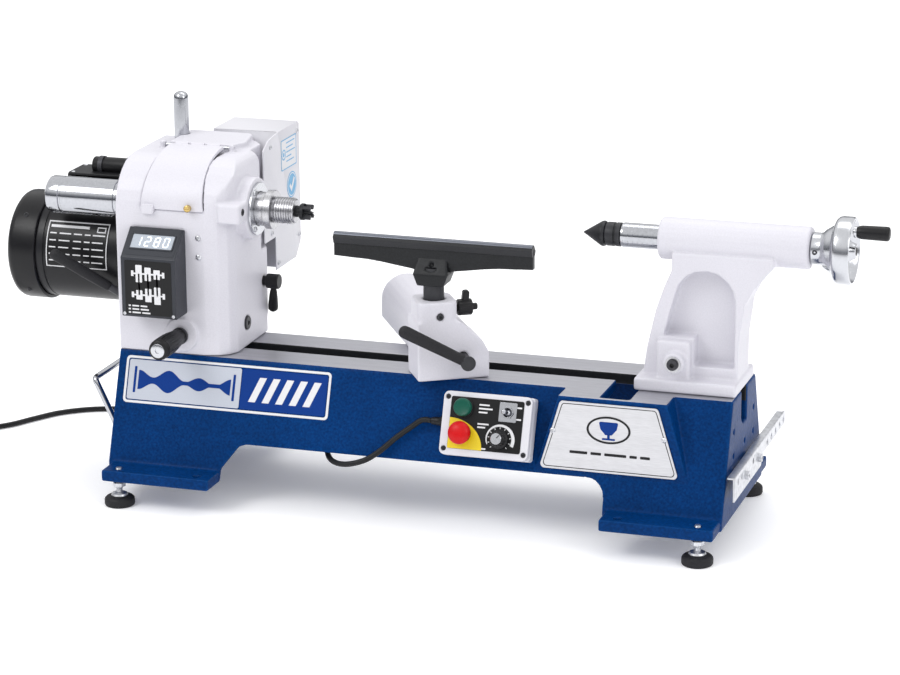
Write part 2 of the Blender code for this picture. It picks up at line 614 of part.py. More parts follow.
def make_control_box():
    place = dict(at=(PANEL_X, PANEL_Y, PANEL_Z), turn=(PANEL_TILT, 0, 0))
    box = block("control_box", (-55.5, -77, -28.5), (55.5, 0, -9.5), "white_enamel", 3, **place)
    cut(box, block("control_box_hollow", (-52, -73.5, -26), (52, -3.5, -5), None, **place))
    lid = block("control_panel", (-55.5, -77, -9.2), (55.5, 0, 0), "white_enamel", 3.5, **place)
    spots = {"start": (-29.3, 18.9, 8.4), "stop": (-28.8, 50.0, 8.4), "toggle": (26.3, 20.6, 6.4),
             "speed": (18.7, 53.5, 4.4)}
    for name, (x, down, radius) in spots.items():
        cut(lid, cylinder(f"{name}_way", radius, -15, 5, None, panel_point(x, down, 0),
                          turn=(PANEL_TILT, 0, 0), steps=12))
    gland_hole = cylinder("gland_hole", 5.3, -10, 10, None, panel_point(-55.5, 37.4, -19), "x", steps=10)
    cut(box, gland_hole)
    start = [(0, 8.5), (9.5, 8.5), (11, 7), (11, 2.6), (8.0, 2.6), (8.0, -7), (0, -7)]
    turned("start_button", start, "green_plastic", panel_point(-29.3, 18.9, 0), turn=(PANEL_TILT, 0, 0), steps=16)
    stop = [(0, 19), (7, 18.2), (12, 15.4), (14, 11.5), (13.6, 8.6), (10.5, 7.6), (8.0, 7.4), (8.0, -7), (0, -7)]
    turned("stop_button", stop, "red_plastic", panel_point(-28.8, 50, 0), turn=(PANEL_TILT, 0, 0), steps=16)
    toggle = [(0, 21), (2.2, 20.4), (3.0, 18.6), (2.7, 15), (1.6, 4), (4.0, 0.5), (4.6, -3), (4.0, -6), (0, -6)]
    turned("direction_switch", toggle, "chrome", panel_point(26.3, 20.6, 0), turn=(PANEL_TILT, 0, 0), steps=10)
    knob = [(0, 15.5), (7.6, 15.5), (8.6, 14.6), (9.4, 6), (11.4, 4.4), (11.6, 0.6), (4.0, 0.6), (4.0, -7), (0, -7)]
    turned("speed_knob", knob, "black_plastic", panel_point(18.7, 53.5, 0), turn=(PANEL_TILT, 0, 0), steps=16)
    gland = [(0, 4), (5.0, 4), (5.0, -0.4), (7.0, -0.4), (7.0, -6), (5.6, -7), (4.4, -18), (0, -18)]
    turned("cable_gland", gland, "black_plastic", panel_point(-55.5, 37.4, -19), "x", steps=10)


CONTROL_ROUTE = [(495.6, -90.4, -47.7), (484, -90.4, -48.0), (470, -92.5, -58), (453, -97, -71), (434, -104, -88),
                 (416, -109, -100), (394, -110, -107), (376, -103, -109), (362, -88, -108), (348, -60, -104),
                 (328, -22, -82), (300, 10, -48), (268, 30, -30), (238, 38, -23), (220, 40, -18.5),
                 (213, 40, -12), (212, 40, -3)]
POWER_ROUTE = [(180, 150, 40), (180, 150.5, 10), (180, 153, -40), (179, 160, -95), (174, 171, -145),
               (160, 184, -170), (135, 197, -176.2), (95, 210, -176.2), (45, 220, -176.2), (-10, 225, -176.2),
               (-55, 222, -176.2), (-95, 208, -176.2), (-128, 182, -176.2), (-150, 148, -176.2),
               (-168, 116, -176.2), (-187, 96, -176.2), (-208, 86.5, -176.2)]
COIL_X, COIL_Y = -231.0, 45.0
COIL_INNER, COIL_OUTER, COIL_HEIGHT = 34.6, 42.6, 35.0


def make_cords():
    rod("control_cable", smooth_route(CONTROL_ROUTE, 14.0), CORD_R, "rubber", 2)
    boot = [(0, 72 - GAP), (8, 72 - GAP), (8, 66), (5.8, 64), (4.4, 40 + GAP), (0, 40 + GAP)]
    turned("strain_relief", boot, "rubber", (180, 150, 0), steps=10)
    rod("power_cable", smooth_route(POWER_ROUTE, 19.0), CORD_R, "rubber", 2)
    ring("cable_coil", COIL_OUTER, COIL_INNER, FLOOR + 0.2, FLOOR + COIL_HEIGHT, "rubber",
         (COIL_X, COIL_Y, 0), steps=20)
    lie = (COIL_X - 38.5, COIL_Y - 38, FLOOR + 18.5)
    plug = [(0, 10), (CORD_R, 10), (CORD_R, -8), (4.6, -12), (6.4, -34), (13, -40), (18, -48), (18, -68),
            (0, -68)]
    plug = turned("mains_plug", plug, "black_plastic", lie, "y", steps=14)
    for side in (-9.5, 9.5):
        join(plug, cylinder(f"plug_pin_{side:.0f}", 2.4, -87, -66, "steel",
                            (lie[0] + side, lie[1], lie[2]), "y", steps=10))


# ---------------------------------------------------------------- banjo and tool rest

def banjo_point(across, along, z):
    c, s = math.cos(BANJO_ANGLE), math.sin(BANJO_ANGLE)
    return (BANJO_X + across * c - along * s, across * s + along * c, z)


TOWER = (-29.8, -52.2)         # tool-post socket, from the clamp bolt, across and along the arm


def make_banjo():
    place = dict(at=(BANJO_X, 0, 0), turn=(0, 0, BANJO_ANGLE))
    tunnel = [(-33, GAP), *arc((0, 24), 33, 180, 0, 12), (33, GAP)]
    banjo = plate("banjo", tunnel, -76.6, 223.4, "white_enamel", "xz", **place)
    x, y = TOWER
    tower = plate("banjo_tower", rounded([(x - 24.5, y - 24.4), (x + 24.5, y - 24.4), (x + 24.5, y + 24.5),
                                          (x - 24.5, y + 24.5)], 9, 3), 20, 98, "white_enamel", "xy", **place)
    shoulder = [(x - 26, GAP), (33, GAP), (33, 32), (25, 47), (12, 59), (-4, 74), (x - 26, 74)]
    skirt = plate("banjo_skirt", shoulder, -76.6, -24, "white_enamel", "xz", **place)
    join(banjo, tower, skirt)
    inner = [(-24, -5), *arc((0, 22), 24, 180, 0, 10), (24, -5)]
    cut(banjo, plate("banjo_hollow", inner, -20, 216, None, "xz", **place))
    post = cylinder("banjo_post_bore", POST_R + GAP + 0.1, 8, 110, None, banjo_point(x, y, 0), steps=20)
    shaft = cylinder("banjo_cam_way", 7.4, -90, -10, None, banjo_point(0, 0, 27),
                     turn=(-math.pi / 2, 0, BANJO_ANGLE), steps=12)
    clamp = cylinder("rest_clamp_way", 5.4, 5, 40, None, banjo_point(x, y, 84),
                     turn=(0, math.pi / 2, BANJO_ANGLE), steps=10)
    front_hole = cylinder("banjo_front_hole", 4.5, -30, -18, None, banjo_point(x + 2, y, 80),
                          turn=(-math.pi / 2, 0, BANJO_ANGLE), steps=10)
    cut(banjo, post, shaft, clamp, front_hole)


def make_banjo_clamp():
    """The eccentric shaft with its lever, and the bolt and plate that it pulls up under the ways."""
    shaft = cylinder("banjo_cam_lever", 7.0, -104, 212, "cast_iron", banjo_point(0, 0, 27),
                     turn=(-math.pi / 2, 0, BANJO_ANGLE), steps=12)
    hub, tip = Vector(banjo_point(0, -97, 27)), Vector(banjo_point(-84, -103, 76))
    reach = tip - hub
    length = reach.length
    profile = [(0, length), (4.6, length - 0.6), (7.4, length - 4), (7.8, length - 10), (6.6, 8), (5.8, 2),
               (3.6, -1.5), (0, -2)]
    grip = turned("cam_grip", profile, "rubber", hub, turn=reach.to_track_quat("Z", "Y").to_euler(), steps=12)
    join(shaft, grip)
    washer = block("banjo_clamp_plate", (-28, -27, PLATE_LOW), (28, 27, PLATE_TOP), "steel", at=(BANJO_X, 0, 0))
    cut(washer, cylinder("clamp_plate_hole", 5.6, -40, 0, None, (BANJO_X, 0, 0), steps=12))
    yoke = block("banjo_clamp_bolt", (-11, -11, 13), (11, 11, 41), "steel",
                 at=(BANJO_X, 0, 0), turn=(0, 0, BANJO_ANGLE))
    cut(yoke, cylinder("yoke_bore", 7.5, -20, 20, None, banjo_point(0, 0, 27),
                       turn=(-math.pi / 2, 0, BANJO_ANGLE), steps=16))
    join(yoke, cylinder("clamp_bolt_shank", 5.0, -36, 15, "steel", (BANJO_X, 0, 0), steps=12),
         cylinder("clamp_bolt_nut", 9.0, -34, PLATE_LOW - GAP, "steel", (BANJO_X, 0, 0), steps=6))


def make_tool_rest():
    x, y = banjo_point(*TOWER, 0)[:2]
    half, top, low = 126.0, 173.0, 131.0
    web = [(-half, top - 3), (-half, top - 30), (-half + 20, top - 31), (-30, low + 4), (-16, low), (16, low),
           (30, low + 4), (half - 20, top - 31), (half, top - 30), (half, top - 3)]
    rest = plate("tool_rest", web, -4.5, 4.5, "cast_iron", "xz", at=(x, y, 0))
    bar = [(-6.0, top - 12), (-9.0, top - 5), *arc((-1.5, top - 5.5), 5.5, 150, 30, 5), (8.5, top - 9),
           (6.0, top - 13)]
    join(rest, plate("rest_bar", bar, -half, half, "cast_iron", "yz", at=(x, y, 0)))
    socket = [(-16.5, 116), (16.5, 116), (19, 123), (22, 130), (18, 149), (-18, 149), (-22, 130), (-19, 123)]
    hub = plate("rest_hub", socket, -16, 16, "cast_iron", "xz", at=(x, y, 0))
    keep(hub, plate("rest_hub_taper", [(-15.5, 110), (15.5, 110), (15.5, 130), (2.0, 152), (-2.0, 152), (-15.5, 130)],
                    -30, 30, None, "yz", at=(x, y, 0)))
    join(rest, hub)
    cut(rest, cylinder("rest_hub_bore", 13.0, 100, 138, None, (x, y, 0), steps=20))
    cylinder("rest_post", POST_R, 26, 137, "steel", (x, y, 0), steps=20)
    clamp = cylinder("rest_clamp", 5.0, 13.6, 40, "black_plastic", banjo_point(*TOWER, 84),
                     turn=(0, math.pi / 2, BANJO_ANGLE), steps=10)
    drum = [(0, 54), (3.6, 54), (4.2, 53), (4.2, 47), (9.0, 47), (9.8, 46), (9.8, 30), (9.0, 29), (0, 29)]
    hub = turned("rest_clamp_hub", drum, "black_plastic", banjo_point(*TOWER, 84),
                 turn=(0, math.pi / 2, BANJO_ANGLE), steps=16)
    arm = plate("rest_clamp_arm", rounded([(34, 3), (43, 3), (44, 21), (36, 21)], 2, 2),
                -4.0, 4.0, "black_plastic", "xz", at=banjo_point(*TOWER, 84), turn=(0, 0, BANJO_ANGLE))
    join(clamp, hub, arm)


# ---------------------------------------------------------------- tailstock

def make_tailstock():
    base = block("tailstock", (TAIL_LEFT, -50, GAP), (TAIL_RIGHT, 50, 16), "white_enamel", 2.5)
    web = [(743, 12), (748, 50), (758, 95), (768, 125), (777, 146), (777, 168), (900, 168), (900, 157),
           (876, 128), (866, 108), (860, 60), (860, 12)]
    join(base, plate("tail_web", web, -30, 30, "white_enamel", "xz"))
    barrel = cylinder("tail_barrel", 25.5, 757, 939.5, "white_enamel", (0, 0, AXIS_Z), "x", steps=24)
    bevel(barrel, 3, 2)
    boss = block("tail_boss", (763, -43, 15), (804, -20, 63), "white_enamel", 3)
    eye = cylinder("tail_eye", 13, -57, -40, "white_enamel", (787, 0, 38.6), turn=(-math.pi / 2, 0, 0), steps=14)
    join(base, barrel, boss, eye)
    window = [(759, 30), *arc((818, 111), 37, 172, 0, 8), (855, 30)]
    for side in (-1, 1):
        low, high = sorted((side * 9.0, side * 34.0))
        recess = plate(f"tail_window_{side}", window, low, high, None, "xz")
        if side < 0:
            cut(recess, block("boss_guard", (752, -70, 20), (806, 0, 65), None))
        cut(base, recess)
    bore = turned("quill_bore", [(0, 945), (7.6, 945), (7.6, 925), (15.3, 925), (15.3, 740), (0, 740)], None,
                  (0, 0, AXIS_Z), "x", steps=20)
    lock_way = cylinder("quill_lock_way", 5.3, 10, 30, None, (806, 0, AXIS_Z), turn=(-math.pi / 2, 0, 0), steps=10)
    clamp_way = cylinder("tail_cam_way", 7.4, -70, 60, None, (787, 0, 38.6), turn=(-math.pi / 2, 0, 0), steps=12)
    bolt_way = cylinder("tail_bolt_way", 6.4, -5, 31, None, (787, 0, 0), steps=10)
    cut(base, bore, lock_way, clamp_way, bolt_way)


def make_tail_parts():
    axis = (0, 0, AXIS_Z)
    quill = [(7.6, 905), (15.0, 905), (15.0, 710), (14.0, 708.5), (9.4, 708.5), (8.9, 772), (7.6, 773)]
    turned("quill", quill, "chrome", axis, "x", steps=20)
    wheel = [(0, 992), (9, 992), (12, 984), (30, 976), (35, 988), (39, 990), (40.5, 986), (40.5, 973), (38, 968),
             (30, 966.5), (20, 953), (19.2, 952), (19.2, 940.2), (7.0, 940.2), (7.0, 778), (0, 778)]
    turned("tail_handwheel", wheel, "aluminium", axis, "x", steps=24)
    grip = [(0, 1035), (6, 1035), (8.6, 1032), (9.0, 1026), (7.2, 1002), (6.4, 994), (3.0, 993), (3.0, 991.4),
            (0, 991.4)]
    turned("crank_handle", grip, "black_plastic", (0, -22, AXIS_Z + 29), "x", steps=14)
    shell = [(0, 770), (8.4, 770), (8.9, 708.2), (14.5, 708.2), (14.5, 691.5), (13, 689.6), (5.6, 689.6),
             (5.6, 703), (0, 703)]
    turned("live_centre_body", shell, "black_enamel", axis, "x", steps=20)
    point = [(0, 702), (5.0, 702), (5.0, 689.3), (13.5, 689.3), (15.5, 687), (15.5, 684.5), (0, 660.6)]
    turned("live_centre_point", point, "black_enamel", axis, "x", steps=20)
    lock = turned("quill_lock", [(0, 46), (7.5, 46), (8, 44), (8, 27), (5.0, 26), (5.0, 15.6), (0, 15.6)],
                  "black_plastic", (806, 0, AXIS_Z), turn=(-math.pi / 2, 0, 0), steps=10)
    join(lock, turned("quill_lock_grip", [(0, 52), (4, 51.4), (6, 47), (4.2, 14), (4.2, 0), (0, 0)],
                      "black_plastic", (806, 38, AXIS_Z), turn=(0, math.radians(150), 0), steps=10))
    cam = cylinder("tail_clamp_lever", 7.0, -63, 74, "cast_iron", (787, 0, 38.6), turn=(-math.pi / 2, 0, 0),
                   steps=12)
    grip = [(0, 104), (4.6, 103.4), (7.4, 100), (7.8, 94), (6.4, 34), (6.0, 30), (5.2, 28), (5.2, 0), (0, 0)]
    join(cam, turned("tail_grip", grip, "rubber", (787, 67, 38.6), turn=(0, math.radians(30), 0), steps=12))
    bolt = cylinder("tail_clamp_plate", 5.0, -34, 30.6, "steel", (787, 0, 0), steps=10)
    join(bolt, block("tail_plate", (759, -27, PLATE_LOW), (815, 27, PLATE_TOP), "steel"),
         cylinder("tail_bolt_nut", 9.0, -34, PLATE_LOW + 1, "steel", (787, 0, 0), steps=6))


make_bed()
make_feet()
make_plaque()
make_end_handle()
make_tool_bracket()
make_headstock()
make_belt_door()
make_hinge_pin()
make_spindle_line()
make_lock_knob()
make_display()
make_electronics_box()
make_plate_clamp()
make_knockout_bar()
make_motor()
make_drive_belt()
make_tension_lever()
make_control_box()
make_cords()
make_banjo()
make_banjo_clamp()
make_tool_rest()
make_tailstock()
make_tail_parts()
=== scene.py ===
"""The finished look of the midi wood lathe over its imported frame: castings, turned parts, labels, cords and paint.

Shapes are written in millimetres in the machine's own frame, as the CAD is: x runs along the bed from
the motor end, y is the depth behind the spindle axis and z is the height over the bed ways.
"""

import json
import math

import bmesh
import bpy
from mathutils import Matrix, Vector

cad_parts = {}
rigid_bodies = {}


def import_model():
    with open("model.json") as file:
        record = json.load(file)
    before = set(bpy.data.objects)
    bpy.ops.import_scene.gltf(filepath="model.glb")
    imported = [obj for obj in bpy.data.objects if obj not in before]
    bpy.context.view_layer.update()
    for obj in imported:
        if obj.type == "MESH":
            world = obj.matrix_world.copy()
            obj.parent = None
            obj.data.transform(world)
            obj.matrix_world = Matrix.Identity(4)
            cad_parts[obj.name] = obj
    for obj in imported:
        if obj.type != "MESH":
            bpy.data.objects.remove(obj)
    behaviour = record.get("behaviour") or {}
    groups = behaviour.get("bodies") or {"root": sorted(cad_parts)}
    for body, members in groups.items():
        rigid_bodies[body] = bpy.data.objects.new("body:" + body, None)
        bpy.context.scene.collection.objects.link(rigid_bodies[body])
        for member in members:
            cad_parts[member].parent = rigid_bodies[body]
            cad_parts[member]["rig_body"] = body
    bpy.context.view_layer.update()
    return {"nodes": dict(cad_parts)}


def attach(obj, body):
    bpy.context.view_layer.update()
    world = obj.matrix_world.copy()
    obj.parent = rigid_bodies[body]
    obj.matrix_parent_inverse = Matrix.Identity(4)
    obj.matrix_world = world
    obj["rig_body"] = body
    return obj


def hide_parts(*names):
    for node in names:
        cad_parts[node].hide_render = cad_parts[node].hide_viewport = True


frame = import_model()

MM = 0.001
FLOOR = -180.0
WAYS_MIDDLE, WAYS_LEVEL = -0.0267, 0.18         # metres, in the frame
PLACE = Matrix.Translation((-0.4625, WAYS_MIDDLE, WAYS_LEVEL)) @ Matrix.Scale(MM, 4)
HERE = Matrix.Identity(4)
AXIS_Z = 178.0                                  # spindle axis over the ways
MOTOR_Y, MOTOR_Z, MOTOR_R = 60.0, 95.5, 65.5


# ---------------------------------------------------------------- camera, light and floor

def world_point(x, y, z):
    return PLACE @ Vector((x, y, z))


def make_camera():
    azimuth, elevation, roll = (math.radians(a) for a in (18.003, 16.051, -0.365))
    back = Vector((math.sin(azimuth) * math.cos(elevation), -math.cos(azimuth) * math.cos(elevation),
                   math.sin(elevation)))
    right = Vector((math.cos(azimuth), math.sin(azimuth), 0))
    up = back.cross(right)
    across = math.cos(roll) * right + math.sin(roll) * up
    upright = math.cos(roll) * up - math.sin(roll) * right
    turn = Matrix((across, upright, back)).transposed().to_4x4()
    lens = bpy.data.cameras.new("camera")
    lens.lens, lens.sensor_width = 124.165, 36.0
    lens.clip_end = 60.0
    camera = bpy.data.objects.new("camera", lens)
    camera.matrix_world = Matrix.Translation((1.16437, -3.52283, 1.26932)) @ turn
    bpy.context.scene.collection.objects.link(camera)
    bpy.context.scene.camera = camera


def softbox(name, place, aim, size, power):
    light = bpy.data.lights.new(name, "AREA")
    light.shape, light.size, light.size_y, light.energy = "RECTANGLE", size[0], size[1], power
    item = bpy.data.objects.new(name, light)
    item.location = place
    item.rotation_euler = (Vector(aim) - Vector(place)).to_track_quat("-Z", "Y").to_euler()
    bpy.context.scene.collection.objects.link(item)


def make_sky():
    """White light from overhead over a darker horizon, which polished metal shows as a dark streak."""
    world = bpy.data.worlds.new("studio")
    world.use_nodes = True
    tree = world.node_tree
    way = tree.nodes.new("ShaderNodeTexCoord")
    parts = tree.nodes.new("ShaderNodeSeparateXYZ")
    ramp = tree.nodes.new("ShaderNodeValToRGB")
    elements = ramp.color_ramp.elements
    elements[0].position, elements[0].color = 0.06, (0.13, 0.135, 0.15, 1)
    elements[1].position, elements[1].color = 0.42, (1.0, 1.0, 1.0, 1)
    low = elements.new(0.2)
    low.color = (0.34, 0.35, 0.37, 1)
    tree.links.new(way.outputs["Generated"], parts.inputs["Vector"])
    tree.links.new(parts.outputs["Z"], ramp.inputs["Fac"])
    tree.links.new(ramp.outputs["Color"], tree.nodes["Background"].inputs["Color"])
    tree.nodes["Background"].inputs["Strength"].default_value = 1.06
    return world


def make_studio():
    softbox("key", (-1.7, -1.9, 2.6), (0, 0, 0.2), (1.6, 1.3), 34)
    softbox("fill", (2.7, -1.2, 1.7), (0.1, 0, 0.2), (1.4, 1.6), 16)
    softbox("top", (0.2, 0.8, 2.7), (0, 0, 0.1), (2.6, 1.2), 16)
    bpy.context.scene.world = make_sky()
    bpy.context.scene.view_settings.view_transform = "Standard"
    bm = bmesh.new()
    bmesh.ops.create_grid(bm, x_segments=8, y_segments=8, size=14.0)
    mesh = bpy.data.meshes.new("studio_floor")
    bm.to_mesh(mesh)
    bm.free()
    made = paint("floor", (0.97, 0.97, 0.975), 0.8, vary=0.01, grain=6, bump=0.0, shine=0.1)
    shader = made.node_tree.nodes["Principled BSDF"]
    shader.inputs["Emission Color"].default_value = (0.95, 0.95, 1.0, 1.0)
    shader.inputs["Emission Strength"].default_value = 0.17
    mesh.materials.append(made)
    floor = bpy.data.objects.new("studio_floor", mesh)
    bpy.context.scene.collection.objects.link(floor)


# ---------------------------------------------------------------- materials

def paint(name, colour, rough, metallic=0.0, vary=0.1, grain=500.0, bump=0.1, depth=0.0002, stretch=(1, 1, 1),
          rough_vary=0.08, cells=False, coat=0.0, edge_colour=None, cloud=14.0, shine=0.5):
    """A finish whose colour, gloss and relief all vary over the surface at the scale of its grain."""
    made = bpy.data.materials.new(name)
    made.use_nodes = True
    tree = made.node_tree
    nodes, link = tree.nodes, tree.links.new
    shader = nodes["Principled BSDF"]
    shader.inputs["Metallic"].default_value = metallic
    shader.inputs["Specular IOR Level"].default_value = shine
    if coat:
        shader.inputs["Coat Weight"].default_value = coat
        shader.inputs["Coat Roughness"].default_value = 0.12
    place = nodes.new("ShaderNodeTexCoord")
    spread = nodes.new("ShaderNodeMapping")
    spread.inputs["Scale"].default_value = stretch
    link(place.outputs["Object"], spread.inputs["Vector"])

    def pattern(scale, detail=3.0):
        found = nodes.new("ShaderNodeTexNoise")
        found.inputs["Scale"].default_value = scale
        found.inputs["Detail"].default_value = detail
        link(spread.outputs["Vector"], found.inputs["Vector"])
        return found.outputs["Fac"]

    def shades(factor, low, high, start=0.3, end=0.7):
        ramp = nodes.new("ShaderNodeValToRGB")
        for stop, tone, at in zip(ramp.color_ramp.elements, (low, high), (start, end)):
            stop.color, stop.position = (*tone, 1), at
        link(factor, ramp.inputs["Fac"])
        return ramp.outputs["Color"]

    def blend(kind, factor, first, second):
        mix = nodes.new("ShaderNodeMix")
        mix.data_type, mix.blend_type = "RGBA", kind
        if isinstance(factor, float):
            mix.inputs["Factor"].default_value = factor
        else:
            link(factor, mix.inputs["Factor"])
        link(first, mix.inputs["A"])
        link(second, mix.inputs["B"])
        return mix.outputs["Result"]

    darker = tuple(c * (1 - vary) for c in colour)
    lighter = tuple(min(1.0, c * (1 + vary)) for c in colour)
    fine = pattern(grain)
    tone = shades(fine, darker, lighter)
    tone = blend("MULTIPLY", 1.0, tone, shades(pattern(cloud, 2.0), (1 - vary * 0.6,) * 3, (1, 1, 1)))
    # convex edges are mixed toward edge_colour, a lighter tone: on the blue paint this is a painted highlight along the
    # edges; on the black enamel and the iron the edges are simply lighter
    if edge_colour:
        edge = nodes.new("ShaderNodeNewGeometry")
        edge_mask = nodes.new("ShaderNodeMapRange")
        for socket, value in (("From Min", 0.52), ("From Max", 0.6), ("To Max", 0.65)):
            edge_mask.inputs[socket].default_value = value
        link(edge.outputs["Pointiness"], edge_mask.inputs["Value"])
        tone = blend("MIX", edge_mask.outputs["Result"], tone, shades(fine, edge_colour, edge_colour))
    link(tone, shader.inputs["Base Color"])
    gloss = nodes.new("ShaderNodeMapRange")
    gloss.inputs["To Min"].default_value = max(0.02, rough - rough_vary)
    gloss.inputs["To Max"].default_value = min(1.0, rough + rough_vary)
    link(pattern(grain * 0.4), gloss.inputs["Value"])
    link(gloss.outputs["Result"], shader.inputs["Roughness"])
    if bump:
        relief = nodes.new("ShaderNodeBump")
        relief.inputs["Strength"].default_value = bump
        relief.inputs["Distance"].default_value = depth
        height = fine
        if cells:
            dimples = nodes.new("ShaderNodeTexVoronoi")
            dimples.feature = "SMOOTH_F1"
            dimples.inputs["Scale"].default_value = grain
            link(spread.outputs["Vector"], dimples.inputs["Vector"])
            height = dimples.outputs["Distance"]
        link(height, relief.inputs["Height"])
        link(relief.outputs["Normal"], shader.inputs["Normal"])
    return made


def lit(name, colour, strength):
    """A glowing segment of a display."""
    made = paint(name, colour, 0.4, vary=0.06, grain=900, bump=0.05)
    shader = made.node_tree.nodes["Principled BSDF"]
    shader.inputs["Emission Color"].default_value = (*colour, 1)
    shader.inputs["Emission Strength"].default_value = strength
    return made


FINISHES = {
    # the lighter blue on the convex edges of the blue paint is a painted edge highlight
    "blue": paint("blue_hammertone", (0.0008, 0.034, 0.15), 0.36, vary=0.28, grain=330, bump=0.5, depth=0.0004,
                  cells=True, edge_colour=(0.006, 0.075, 0.25), shine=0.06),
    "casting": paint("white_casting", (0.66, 0.65, 0.705), 0.42, vary=0.035, grain=620, bump=0.35,
                     depth=0.00022, cells=True, shine=0.4),
    "sheet": paint("white_sheet", (0.68, 0.675, 0.715), 0.36, vary=0.03, grain=900, bump=0.12, depth=0.0001),
    "black": paint("black_enamel_fine", (0.0035, 0.0036, 0.005), 0.33, vary=0.25, grain=700, bump=0.2,
                   depth=0.00012, edge_colour=(0.02, 0.02, 0.024), shine=0.3),
    "steel": paint("ground_steel", (0.5, 0.5, 0.52), 0.28, 1.0, vary=0.12, grain=260, bump=0.12, depth=0.00006,
                   stretch=(9, 1, 1)),
    "zinc": paint("zinc_plate", (0.68, 0.69, 0.72), 0.38, 1.0, vary=0.16, grain=160, bump=0.06, depth=0.00005),
    "chrome": paint("chrome_plate", (0.47, 0.48, 0.51), 0.11, 1.0, vary=0.05, grain=300, bump=0.02,
                    depth=0.00004, rough_vary=0.04),
    "iron": paint("blackened_iron", (0.011, 0.012, 0.014), 0.44, 0.2, vary=0.3, grain=480, bump=0.3,
                  depth=0.00018, edge_colour=(0.07, 0.07, 0.08), shine=0.35),
    "ways": paint("ground_ways", (0.5, 0.5, 0.54), 0.4, 0.85, vary=0.14, grain=210, bump=0.12,
                  depth=0.00006, stretch=(0.25, 12, 1)),
    "rail": paint("gunmetal_rail", (0.16, 0.17, 0.2), 0.3, 0.9, vary=0.12, grain=240, bump=0.1,
                  depth=0.00005, stretch=(0.3, 8, 8)),
    "aluminium": paint("brushed_aluminium", (0.6, 0.6, 0.62), 0.34, 1.0, vary=0.09, grain=240, bump=0.14,
                       depth=0.00005, stretch=(0.35, 8, 9)),
    "turned": paint("turned_aluminium", (0.56, 0.57, 0.6), 0.2, 1.0, vary=0.07, grain=320, bump=0.08,
                    depth=0.00005, stretch=(9, 1, 1), rough_vary=0.05),
    "brass": paint("turned_brass", (0.58, 0.42, 0.16), 0.26, 1.0, vary=0.1, grain=500, bump=0.08,
                   depth=0.00005),
    "plastic": paint("black_plastic_fine", (0.007, 0.007, 0.0085), 0.42, vary=0.2, grain=1300, bump=0.25,
                     depth=0.0001, shine=0.3),
    "slate": paint("slate_plastic", (0.026, 0.029, 0.038), 0.36, vary=0.14, grain=1300, bump=0.2, depth=0.00008,
                   shine=0.35),
    "rubber": paint("grip_rubber", (0.016, 0.016, 0.019), 0.6, vary=0.25, grain=900, bump=0.3, depth=0.00014,
                    shine=0.3),
    "belt": paint("belt_rubber", (0.018, 0.018, 0.018), 0.75, vary=0.25, grain=800, bump=0.3, depth=0.00014),
    "cable": paint("cable_jacket", (0.007, 0.007, 0.008), 0.45, vary=0.2, grain=900, bump=0.15, depth=0.00008,
                   shine=0.3),
    "red": paint("red_button", (0.56, 0.003, 0.005), 0.36, vary=0.07, grain=700, bump=0.05, depth=0.00006,
                 shine=0.25),
    "green": paint("green_button", (0.003, 0.085, 0.055), 0.34, vary=0.1, grain=700, bump=0.05, depth=0.00006,
                   shine=0.3),
    "yellow": paint("yellow_sector", (0.8, 0.6, 0.01), 0.4, vary=0.04, grain=900, bump=0.05),
    "legend": paint("black_legend", (0.004, 0.004, 0.005), 0.36, vary=0.15, grain=1200, bump=0.06, shine=0.3),
    "mark": paint("white_mark", (0.72, 0.72, 0.74), 0.45, vary=0.03, grain=900, bump=0.04),
    "label_grey": paint("grey_label", (0.5, 0.53, 0.6), 0.34, vary=0.03, grain=900, bump=0.05),
    "label_blue": paint("blue_label", (0.001, 0.035, 0.22), 0.4, vary=0.08, grain=900, bump=0.05, shine=0.15),
    "sky": paint("sky_label", (0.1, 0.36, 0.62), 0.36, vary=0.05, grain=900, bump=0.04),
    "window": paint("display_window", (0.42, 0.46, 0.52), 0.16, vary=0.05, grain=700, bump=0.02, coat=0.5),
    "glow": lit("display_digit", (0.85, 0.93, 1.0), 0.9),
}


# ---------------------------------------------------------------- shapes, in millimetres

FACING = {"x": Matrix.Rotation(math.pi / 2, 4, "Y"), "y": Matrix.Rotation(-math.pi / 2, 4, "X"),
          "-y": Matrix.Rotation(math.pi / 2, 4, "X"), "z": HERE,
          "yz": Matrix(((0, 0, 1, 0), (1, 0, 0, 0), (0, 1, 0, 0), (0, 0, 0, 1)))}


def at(x=0.0, y=0.0, z=0.0, facing="z"):
    """A shape's own frame in the machine: its origin, and the way its z axis points."""
    return Matrix.Translation((x, y, z)) @ FACING[facing]


def tilted(x, y, z, degrees):
    """A sloping face's frame: x along the machine, y up the slope, z out of the face."""
    return Matrix.Translation((x, y, z)) @ Matrix.Rotation(math.radians(degrees), 4, "X")


def aimed(start, end):
    """A frame at the start whose z axis runs to the end."""
    reach = Vector(end) - Vector(start)
    return Matrix.Translation(start) @ reach.to_track_quat("Z", "Y").to_matrix().to_4x4()


def lathe(profile, steps=64, ripple=None):
    """(radius, height) points from the top down the outer side, turned about z; ripple adds to a radius."""
    bm = bmesh.new()
    rings = []
    for radius, height in profile:
        if radius < 1e-6:
            rings.append([bm.verts.new((0, 0, height))])
            continue
        loop = []
        for i in range(steps):
            angle = 2 * math.pi * i / steps
            wide = radius + (ripple(angle, radius, height) if ripple else 0.0)
            loop.append(bm.verts.new((wide * math.cos(angle), wide * math.sin(angle), height)))
        rings.append(loop)
    pairs = list(zip(rings, rings[1:]))
    if profile[0][0] > 0:
        pairs.append((rings[-1], rings[0]))
    for upper, lower in pairs:
        for i in range(steps):
            j = (i + 1) % steps
            corners = [upper[i % len(upper)], lower[i % len(lower)], lower[j % len(lower)], upper[j % len(upper)]]
            corners = list(dict.fromkeys(corners))
            if len(corners) > 2:
                bm.faces.new(corners)
    return bm


def disc(radius, low, high, steps=48):
    return lathe([(0, high), (radius, high), (radius, low), (0, low)], steps)


